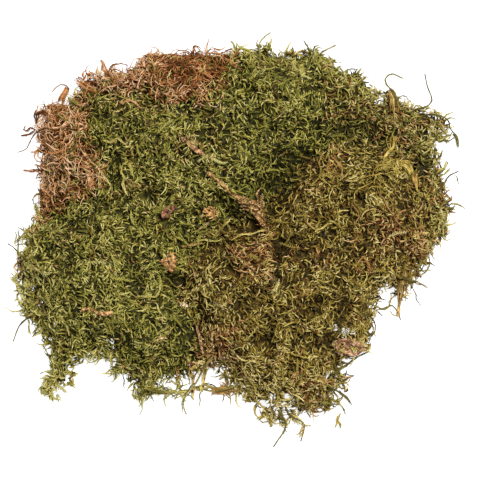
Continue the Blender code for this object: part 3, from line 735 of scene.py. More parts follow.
class Ground:
    """The whole clump on one grid: which mat is where, how high the tips stand, how far each place is
    inside the outline and which way is out."""

    def __init__(self):
        spare = SPARE_CELLS * GRID
        low, high = CAD_BOX
        self.x = np.arange(low[0] - spare, high[0] + spare, GRID)
        self.y = np.arange(low[1] - spare, high[1] + spare, GRID)
        tops = np.stack([self.heights(name) for name in MATS])
        top, owner = tops.max(0), np.where(tops.max(0) > 0, tops.argmax(0), -1)
        whole = spread_mask(owner >= 0, SEAM_CELLS)
        self.whole = repeated(lambda m: around(m, False).all(0), whole, SEAM_CELLS)
        for _ in range(2 * SEAM_CELLS):
            bare = self.whole & (owner < 0)
            owner = np.where(bare, around(owner, -1).max(0), owner)
            top = np.where(bare, around(top, -1.0).max(0), top)
        self.owner = np.where(self.whole, owner, -1)
        self.inside = self.distance()
        slope = np.gradient(smoothed(self.inside, 2))
        steep = np.hypot(*slope) + 1e-9
        self.out = np.stack([-slope[0] / steep, -slope[1] / steep], -1)
        self.relief, knots = [np.array([[drift(x, y, size, layer) for y in self.y] for x in self.x])
                              for size, layer in ((TUFT_ACROSS, TUFT_LAYER), (KNOT_ACROSS, KNOT_LAYER))]
        rough = TUFT_RELIEF * self.relief + KNOT_RELIEF * knots
        self.top = self.bridged(top) + rough * np.clip(self.inside / RELIEF_OVER, 0, 1)
        sunk = sum(depth * np.exp(-self.squares(x, y) / (2 * (spread * MM) ** 2))
                   for x, y, spread, depth in HOLLOWS)
        self.sunk = HOLLOW_MOST * np.tanh(sunk / HOLLOW_MOST)
        self.top -= self.sunk * MM
        self.gap = np.min([np.sqrt(self.squares(x, y)) - radius * MM for x, y, radius in GAPS], 0)
        self.litter = np.max([self.heights(name) for name in LITTER], 0)
        for name in LITTER:
            bed = repeated(lambda f: around(f, -1.0).max(0), self.heights(name, UP), 1) + LITTER_SINK
            self.top += smoothed(np.where(self.whole & (bed > 0), np.maximum(bed - self.top, 0), 0), 1)

    def squares(self, x, y):
        """The squared distance of each place from one in millimetres."""
        return (self.x[:, None] - x * MM) ** 2 + (self.y - y * MM) ** 2

    def heights(self, name, way=DOWN):
        """Where a look down or up meets a node's solid at each place, or -1."""
        mesh = frame["nodes"][name].data
        solid = BVHTree.FromPolygons([v.co for v in mesh.vertices], [p.vertices[:] for p in mesh.polygons])
        found = np.full((len(self.x), len(self.y)), -1.0)
        for i, x in enumerate(self.x):
            for j, y in enumerate(self.y):
                hit = solid.ray_cast(Vector((x, y, 0)) - way * ABOVE_ALL, way)[0]
                if hit is not None:
                    found[i, j] = hit.z
        return found

    def bridged(self, top):
        """The heights with the valleys between neighbours filled, the crevice only partly."""
        top = np.where(self.whole, top, -1.0)
        filled = repeated(lambda f: around(f, -1.0).max(0), top, BRIDGE_CELLS)
        filled = repeated(lambda f: around(f, np.inf).min(0), filled, BRIDGE_CELLS)
        share = np.full(top.shape, SEAM_FILL)
        for pair, fill in DARK_SEAMS.items():
            near = [spread_mask(self.owner == MATS.index(name), BRIDGE_CELLS) for name in pair]
            share[near[0] & near[1]] = fill
        return top + smoothed(np.where(self.whole, share * (filled - top), 0), 3)

    def distance(self):
        """How far each place of the clump is from the nearest one outside it."""
        edge = np.argwhere(spread_mask(self.whole, 1) & ~self.whole) * GRID
        result = np.zeros(self.whole.shape)
        for chunk in np.array_split(np.argwhere(self.whole), DISTANCE_CHUNKS):
            gap = np.linalg.norm(chunk[:, None] * GRID - edge[None], axis=2).min(1)
            result[chunk[:, 0], chunk[:, 1]] = gap
        return result

    def height_at(self, x, y, on_litter=False):
        i = int(np.clip(round((x - self.x[0]) / GRID), 0, len(self.x) - 1))
        j = int(np.clip(round((y - self.y[0]) / GRID), 0, len(self.y) - 1))
        return max(self.top[i, j], self.litter[i, j] if on_litter else 0.0)

    def has(self, mat):
        """Where this mat's cover grows: its own ground and a little of its neighbours'."""
        return spread_mask(self.owner == MATS.index(mat), 1) & self.whole


def patch_value(x, y, patches):
    """The sum of soft round patches, each (x, y, spread, value) in millimetres on the plan."""
    total = 0.0
    for px, py, spread, value in patches:
        total += value * math.exp(-((x / MM - px) ** 2 + (y / MM - py) ** 2) / (2 * spread ** 2))
    return total


RIM_FROM, RIM_OVER = 4 * MM, 11 * MM  # shoots point outwards from here and stop doing so over this way
# How far the rim pulls the shoots outwards and how much denser, longer, flatter and paler it makes them; the
# paler tint is painted light, as though light shone through the thin rim
RIM_PULL, RIM_DENSER, RIM_LONGER, RIM_FLATTER, RIM_PAINTED_LIGHT = 1.3, 0.5, 0.12, 0.6, 0.12
GUIDE_LEAST = 2 * MM
# Palette places up on the raised tufts' tops and down in their dips: painted light and painted shade
TUFT_TOP_PAINTED_LIGHT = 0.14
# Smooth changes over a mat: across how many millimetres, how much, and the layer of the noise
LAY_WIDE, LAY_FINE = (24.0, 0.5, 0.0), (9.0, 0.45, 2.0)
SIZE_WAVE = (14.0, 0.2, 5.0)
TINT_WIDE, TINT_FINE = (22.0, 0.14, 8.0), (7.0, 0.12, 3.0)
DEAD_WAVE, DEAD_DIP = (15.0, 2.2, 11.0), 0.99  # and how far it goes down at most


def wave(x, y, looks, size, much, layer):
    """One of a mat's smooth changes at a place."""
    return much * drift(x, y, size, looks["phase"] + layer)


def guide_points(ground, mat, looks):
    """Places of a mat's guide surface, their numbers on the grid and the fields that shoots follow."""
    held = ground.has(mat) & (ground.inside >= looks["edge_keep"])
    index = -np.ones(held.shape, int)
    places, fields = [], {key: [] for key in ("density", "size", "rise", "tint", "mix", "dead", "comb")}
    for i, j in np.argwhere(held):
        x, y, sunk = ground.x[i], ground.y[j], ground.sunk[i, j]
        index[i, j] = len(places)
        places.append((x, y, max(ground.top[i, j], GUIDE_LEAST)))
        rim = min(1.0, max(0.0, 1 - (ground.inside[i, j] - RIM_FROM) / RIM_OVER))
        angle = math.tau * (wave(x, y, looks, *LAY_WIDE) + wave(x, y, looks, *LAY_FINE)) + looks["lay"]
        comb = np.array((math.cos(angle), math.sin(angle))) * (1 - rim) + ground.out[i, j] * rim * RIM_PULL
        thick = (1 + RIM_DENSER * rim) * (1 - HOLLOW_THIN * sunk / HOLLOW_MOST)
        size = looks["size"] * (1 + wave(x, y, looks, *SIZE_WAVE)) * (1 + RIM_LONGER * rim)
        # Paler on the raised tufts and darker in their dips: painted light and painted shade
        tint = looks["tint"] + TUFT_TOP_PAINTED_LIGHT * ground.relief[i, j] + wave(x, y, looks, *TINT_WIDE)
        tint += wave(x, y, looks, *TINT_FINE) + patch_value(x, y, looks["tints"])
        dead = looks["dead"] * (1 + max(-DEAD_DIP, wave(x, y, looks, *DEAD_WAVE)))
        dead += patch_value(x, y, looks["deads"])
        fields["comb"].append((*comb, 0.0))
        fields["density"].append(thick * min(1.0, max(0.0, ground.gap[i, j] / GAP_EDGE)))
        fields["size"].append(size)
        fields["rise"].append(1 - RIM_FLATTER * rim)
        # Paler at the rim by painted light, darker in the hollows by painted shade
        fields["tint"].append(tint + RIM_PAINTED_LIGHT * rim - HOLLOW_SHADE * sunk)
        fields["mix"].append(1 - HOLLOW_CALM * sunk / HOLLOW_MOST)
        fields["dead"].append(dead * max(0.0, 1 - sunk / DEAD_TO))
    return places, index, fields


def grid_faces(index, low, high):
    """Quads between neighbouring numbered places, in the rows from low up to high."""
    faces = []
    for i in range(index.shape[0] - 1):
        for j in range(low, min(high, index.shape[1] - 1)):
            quad = (index[i, j], index[i + 1, j], index[i + 1, j + 1], index[i, j + 1])
            if min(quad) >= 0:
                faces.append(quad)
    return faces


def guide_object(name, places, faces, fields):
    obj = mesh_object(name, places, faces)
    for key, values in fields.items():
        store(obj.data, key, values)
    return obj


CORE_KEEP = 4 * MM  # inside the outline
CORE_FLOOR, CORE_LEAST = 2.4 * MM, 3.2 * MM  # its underside, and its least height
CORE_ACROSS, CORE_RELIEF, CORE_LAYER = 6.0, 1.2 * MM, 2.0
MOTTLE_ACROSS, MOTTLE_LAYER = 3.5, 5.0
CORE_AGE_AND_SHADE, CORE_TINT = (0.18, 0.12), (0.16, 0.1)  # its place in each palette, and how far that sways; both low, for the old stems' brown and for painted shade


def core_object(name, ground, held, low, high, depth):
    """The tangle of old stems below the shoots: a closed body under a mat's surface, dark from the old
    stems' brown and from painted shade between the shoots.
    """
    index = np.where(held, np.arange(held.size).reshape(held.shape), -1)
    upper = grid_faces(index, low, high)
    used = sorted({v for face in upper for v in face})
    count = len(used)
    tops = []
    for v in used:
        x, y, top = ground.x[v // held.shape[1]], ground.y[v % held.shape[1]], ground.top.flat[v]
        rough = CORE_RELIEF * drift(x, y, CORE_ACROSS, CORE_LAYER)
        tops.append((x, y, max(top - depth + rough, CORE_LEAST)))
    number = {v: n for n, v in enumerate(used)}
    upper = [tuple(number[v] for v in face) for face in upper]
    edges = {(a, b) for face in upper for a, b in zip(face, face[1:] + face[:1])}
    faces = upper + [tuple(v + count for v in face[::-1]) for face in upper]
    faces += [(b, a, a + count, b + count) for a, b in sorted(edges) if (b, a) not in edges]
    obj = mesh_object(name, tops + [(x, y, CORE_FLOOR) for x, y, _ in tops], faces)
    mottle = [drift(x, y, MOTTLE_ACROSS, MOTTLE_LAYER) for x, y, _ in tops]
    # Low places in the palette and near the dark foot of AGE_LIGHT: the old stems' brown and painted shade
    store(obj.data, "along", [CORE_AGE_AND_SHADE[0] + CORE_AGE_AND_SHADE[1] * m for m in mottle] + [0.0] * count)
    store(obj.data, "spot_tint", [LIVING * (CORE_TINT[0] + CORE_TINT[1] * m) for m in mottle] * 2)
    return obj


# --- The mats ---

GREEN = ("#2b2d1c", "#464627", "#6b6a2e", "#868339", "#a39d50", "#b8b272")
OLIVE = ("#312a1b", "#4f4425", "#75602c", "#8c7d3a", "#ab9b54", "#c2b47a")
SHADED = ("#2b2c1d", "#454426", "#69602e", "#817b3d", "#a09853", "#bab078")
DEAD_TUFT = ("#3e1f0c", "#704120", "#9a653b", "#bb8a5f", "#d6b293")
DEAD = ("#3f2914", "#6e4a28", "#926a3e", "#b08c5d", "#caae86")
STRAW = ("#2a2914", "#4b4520", "#72682e", "#95853e", "#b4a054", "#c8b876")
PALE_GREEN = ("#2a2a16", "#484722", "#6d692f", "#908842", "#ada459", "#c2ba7c")
STRAWS = {"green_mat": PALE_GREEN, "olive_mat": STRAW, "under_mat": PALE_GREEN}
DEAD_STEM = ("#3c1c1a", "#66402c", "#90703e", "#b0905c", "#ccb080")
DEAD_STRAW = ("#33260f", "#5a461f", "#80683a", "#a68b58", "#c8b284")
GREEN_BITS = ("#31341a", "#595826", "#837e3b", "#a69c57", "#c4ba84")

# How each mat looks: its palettes, the layer of its noise and the lay of its shoots in radians, shares of
# the usual sizes and numbers, where it is cut into covers, and soft round patches of another tint and of
# more or fewer dead shoots: plan place and spread in millimetres, and how much. The darker tint patches
# are painted shade in crevices and hollows; the paler ones are partly the moss's own paler colour and
# partly painted light
MAT_LOOKS = {
    "green_mat": {
        "slot": "green_moss", "living": GREEN, "dead_colours": DEAD_STRAW, "phase": 0.0, "lay": 0.4,
        "size": 1.0, "tint": 0.52, "dead": 0.10, "edge_keep": 1.8 * MM, "shoots": 1.0, "fronds": 2.4,
        "strands": 0.85, "tint_spread": 0.48, "cuts": (60.0, 30.0, 0.0, -36.0),
        "tints": ((-111, 3, 4, 0.25), (-80, 20, 4, 0.12), (-111, -20, 8, 0.5), (-80, -45, 18, 0.06),
                  (0, 26, 5, -0.15), (-104, -78, 9, 0.25), (-60, 10, 14, 0.06), (-70, 55, 8, 0.1),
                  (-25, -32, 5, 0.3), (33, 79, 9, -0.1), (-47, -82, 6, 0.15), (-19, -69, 4, 0.3),
                  (-25, 50, 6, 0.6), (-28, -50, 5, -0.1)),
        "deads": ((-89, 3, 4, 0.5), (-60, 48, 4, 0.6), (-60, 27, 5, 0.4), (-118, -14, 3, 0.9),
                  (-60, 77, 7, 0.5), (-42, 74, 6, 0.4), (-25, -33, 4, 0.6), (-25, 50, 5, 0.5),
                  (-80, -50, 22, -0.1), (-104, -78, 9, -0.15), (-19, -69, 4, 0.6)),
    },
    "olive_mat": {
        "slot": "olive_moss", "living": OLIVE, "dead_colours": DEAD, "phase": 20.0, "lay": -0.9, "size": 1.06,
        "tint": 0.52, "dead": 0.11, "edge_keep": 1.8 * MM, "shoots": 1.0, "fronds": 1.0,
        "strands": 1.25, "tint_spread": 0.48, "cuts": (10.0, -34.0),
        "tints": ((27, -94, 12, 0.48), (92, 38, 7, 0.25), (85, -22, 4, 0.3), (60, 15, 9, -0.15),
                  (60, -18, 9, -0.13), (-9, -58, 7, 0.6), (102, -3, 6, 0.36), (24, -6, 6, -0.15),
                  (8, 4, 5, -0.15), (-22, -32, 6, 0.3), (15, -76, 8, 0.08), (42, -86, 6, -0.06),
                  (35, 20, 5, 0.22), (0, -25, 6, -0.2), (20, -60, 6, 0.18), (1, -46, 6, 0.18),
                  (52, -38, 9, -0.12), (64, -4, 5, 0.14)),
        "deads": ((13, -6, 9, 0.9), (-4, -9, 6, 0.6), (102, -4, 6, 0.8), (-11, -57, 7, 0.9),
                  (30, -92, 12, -0.25), (60, 27, 14, -0.08), (92, 5, 9, 0.3), (75, 2, 8, 0.25),
                  (40, -85, 9, 0.12), (60, -22, 12, -0.12), (30, -45, 12, -0.12), (-2, -48, 4, 0.5),
                  (70, -14, 4, 0.5), (-19, -69, 4, 0.6), (51, 40, 5, 1.1), (85, 3, 4, 0.4)),
    },
    "under_mat": {
        "slot": "shaded_moss", "living": SHADED, "dead_colours": DEAD, "phase": 40.0, "lay": 0.9, "size": 1.0,
        "tint": 0.50, "dead": 0.14, "edge_keep": 1.8 * MM, "shoots": 0.95, "fronds": 0.9,
        "strands": 1.2, "tint_spread": 0.48, "cuts": (),
        "tints": ((105, 60, 6, 0.12), (70, 62, 5, 0.1)),
        "deads": ((88, 76, 3, 1.0), (86, 66, 6, 0.4), (112, 30, 6, 0.4)),
    },
    "brown_tuft_top": {
        "slot": "dead_moss", "living": DEAD_TUFT, "dead_colours": GREEN_BITS, "phase": 60.0, "lay": 0.2,
        "size": 1.1, "tint": 0.50, "dead": 0.07, "edge_keep": 4.0 * MM, "shoots": 0.3, "fronds": 0.4,
        "strands": 6.5, "hairs": 1.1, "tint_spread": 0.42, "cuts": (),
        "tints": ((-68, 88, 8, 0.14), (-47, 95, 8, 0.12), (-20, 93, 8, -0.22)),
        "deads": ((-70, 79, 6, 0.6), (-47, 76, 6, 0.25), (-12, 78, 6, 0.3)),
    },
    "brown_tuft_left": {
        "slot": "dead_moss", "living": DEAD_TUFT, "dead_colours": GREEN_BITS, "phase": 80.0, "lay": 1.2,
        "size": 1.1, "tint": 0.57, "dead": 0.07, "edge_keep": 4.0 * MM, "shoots": 0.3, "fronds": 0.4,
        "strands": 6.5, "hairs": 1.1, "tint_spread": 0.34, "cuts": (),
        "tints": ((-95, 65, 10, 0.16), (-85, 36, 6, 0.42)),
        "deads": ((-88, 29, 6, 0.6), (-97, 44, 5, 0.35), (-83, 60, 4, 0.3)),
    },
}
UNDERSIDE_HEIGHT = 1.6 * MM


# What each kind is like: its rings of leaves, how far it bends and wanders in radians, and how far its
# leaves stand out
SHOOT_KIND = {"rings": 3, "bend": 2.4, "wander": 0.2, "flare": 0.16}
STRAND_KIND = {"rings": 6, "bend": 3.0, "wander": 0.26, "flare": 0.12}
HAIR_KIND = {"rings": 6, "bend": 3.6, "wander": 0.4, "flare": 0.08}
KIND_COUNT = 12
LEAF_WIDTH, SCALE_WIDTH = 0.45, 1.1  # for a length of 1
LEAF_ALONG = (0.2, 0.2, 0.45, 0.8)
STRAND_YAW = 1.6


class Nursery:
    """What the steps share: the clump's ground, the trees and the kinds of shoots."""
    made = None

    @classmethod
    def get(cls, scene):
        if cls.made is None:
            cls.made = cls(scene.moss_shoots)
        return cls.made

    def __init__(self, sizes):
        self.ground = Ground()
        self.cover = cover_tree(scatter_tree())
        self.stems = stem_tree()
        self.shoots = make_shoots(
            "leafy_shoot", KIND_COUNT, sizes.shoot_length, sizes.shoot_radius, sizes.seed, **SHOOT_KIND)
        self.strands = make_shoots(
            "wiry_strand", KIND_COUNT, sizes.strand_length, sizes.strand_radius, sizes.seed + 1,
            **STRAND_KIND)
        self.hairs = make_shoots(
            "hair", KIND_COUNT, sizes.hair_length, sizes.hair_radius, sizes.seed + 3, **HAIR_KIND)
        self.fronds = make_fronds("frond", KIND_COUNT, sizes.frond_length, sizes.shoot_radius, sizes.seed + 2)
        self.leaf, self.scale = [
            variant(name, *blade(Vector(), Vector((1, 0, 0)), 1.0, width), LEAF_ALONG)
            for name, width in (("leaf_kind", LEAF_WIDTH), ("scale_kind", SCALE_WIDTH))]

    def clear(self):
        for kinds in (self.shoots, self.strands, self.hairs, self.fronds):
            for obj in list(kinds.objects):
                drop(obj)
            bpy.data.collections.remove(kinds)
        drop(self.leaf)
        drop(self.scale)


def build_mat(scene, mat):
    """Grows a mat's cover in as many pieces as its cuts give, each on the mat's node."""
    looks = MAT_LOOKS[mat]
    sizes, density = scene.moss_shoots, scene.moss_density
    shop = Nursery.get(scene)
    ground = shop.ground
    material = plant_material(f"dry_{looks['slot']}_{mat}", looks["living"], looks["dead_colours"])
    places, index, fields = guide_points(ground, mat, looks)
    flat = [(x, y, UNDERSIDE_HEIGHT) for x, y, _ in places]
    core_held = ground.has(mat) & (ground.inside >= CORE_KEEP) & (ground.gap > CORE_GAP)
    cuts = [int((cut * MM - ground.y[0]) / GRID) for cut in looks["cuts"]]
    rows = [len(ground.y), *cuts, 0]
    for n, (high, low) in enumerate(zip(rows, rows[1:])):
        name = f"{mat}_cover" if len(rows) == 2 else f"{mat}_cover_{n + 1}"
        faces = grid_faces(index, low, high)
        guide = guide_object(name + "_guide", places, faces, fields)
        under = guide_object(name + "_underside", flat, [f[::-1] for f in faces], fields)
        core = core_object(name + "_core", ground, core_held, low, high, sizes.core_depth)
        piece = grown(guide, shop.cover, {
            "Underside": under, "Old stems": core, "Shoots": shop.shoots, "Fronds": shop.fronds,
            "Strands": shop.hairs if "hairs" in looks else shop.strands,
            "Strand yaw": looks.get("hairs", STRAND_YAW), "Kind count": KIND_COUNT,
            "Shoot density": density.shoots * looks["shoots"],
            "Frond density": density.fronds * looks["fronds"],
            "Strand density": density.strands * looks["strands"],
            "Underside density": density.underside, "Shoot length": sizes.shoot_length,
            "Frond length": sizes.frond_length, "Strand length": sizes.strand_length,
            "Tint spread": looks["tint_spread"],
            "Seed": sizes.seed + 100 * n + 1000 * MATS.index(mat), "Material": material,
        })
        drop(under)
        drop(core)
        dress(piece, looks["slot"], mat)


class MOSS_OT_green_mat(bpy.types.Operator):
    """Grow the broad green mat of leafy shoots"""
    bl_idname = "moss.green_mat"
    bl_label = "Green mat"

    def execute(self, context):
        build_mat(context.scene, "green_mat")
        return {"FINISHED"}


class MOSS_OT_olive_mat(bpy.types.Operator):
    """Grow the high olive mat of wiry shoots"""
    bl_idname = "moss.olive_mat"
    bl_label = "Olive mat"

    def execute(self, context):
        build_mat(context.scene, "olive_mat")
        return {"FINISHED"}


class MOSS_OT_under_mat(bpy.types.Operator):
    """Grow the shaded mat that comes out from below the olive one"""
    bl_idname = "moss.under_mat"
    bl_label = "Shaded mat"

    def execute(self, context):
        build_mat(context.scene, "under_mat")
        return {"FINISHED"}


class MOSS_OT_brown_tufts(bpy.types.Operator):
    """Grow the two tufts of dead brown moss"""
    bl_idname = "moss.brown_tufts"
    bl_label = "Brown tufts"

    def execute(self, context):
        build_mat(context.scene, "brown_tuft_top")
        build_mat(context.scene, "brown_tuft_left")
        return {"FINISHED"}


# --- Single stems: the strays at the edges, and long ones that lie on the mats ---

STEM = ("#211f0c", "#343315", "#4b4a20", "#66622d", "#837b40", "#a39860")
STEM_LEAST = 0.5  # of its widest place, for the tip of a stem
WIRE_MOST = 0.8 * MM  # half width of the thickest bare wire
STRAY_TINTS = {  # place in the stems' palette, over 0.5 for dead ones
    "stray_north": 0.36, "stray_north_east": 0.30, "stray_north_west": 0.70, "stray_hook_upper": 0.30,
    "stray_wire_upper": 0.20, "stray_loop_right": 0.22, "stray_fork_right": 0.20, "stray_right_low": 0.22,
    "stray_right_hook": 0.32, "stray_right_down": 0.18, "stray_sprig_right": 0.26, "stray_low_right": 0.22,
    "stray_low_curl": 0.30, "stray_low_fork": 0.26, "stray_low_tip": 0.26, "stray_bottom_strand": 0.34,
    "stray_bottom_arch": 0.40, "stray_left_low": 0.22, "stray_left": 0.24, "stray_left_upper": 0.62,
    "stray_left_loop": 0.72,
}
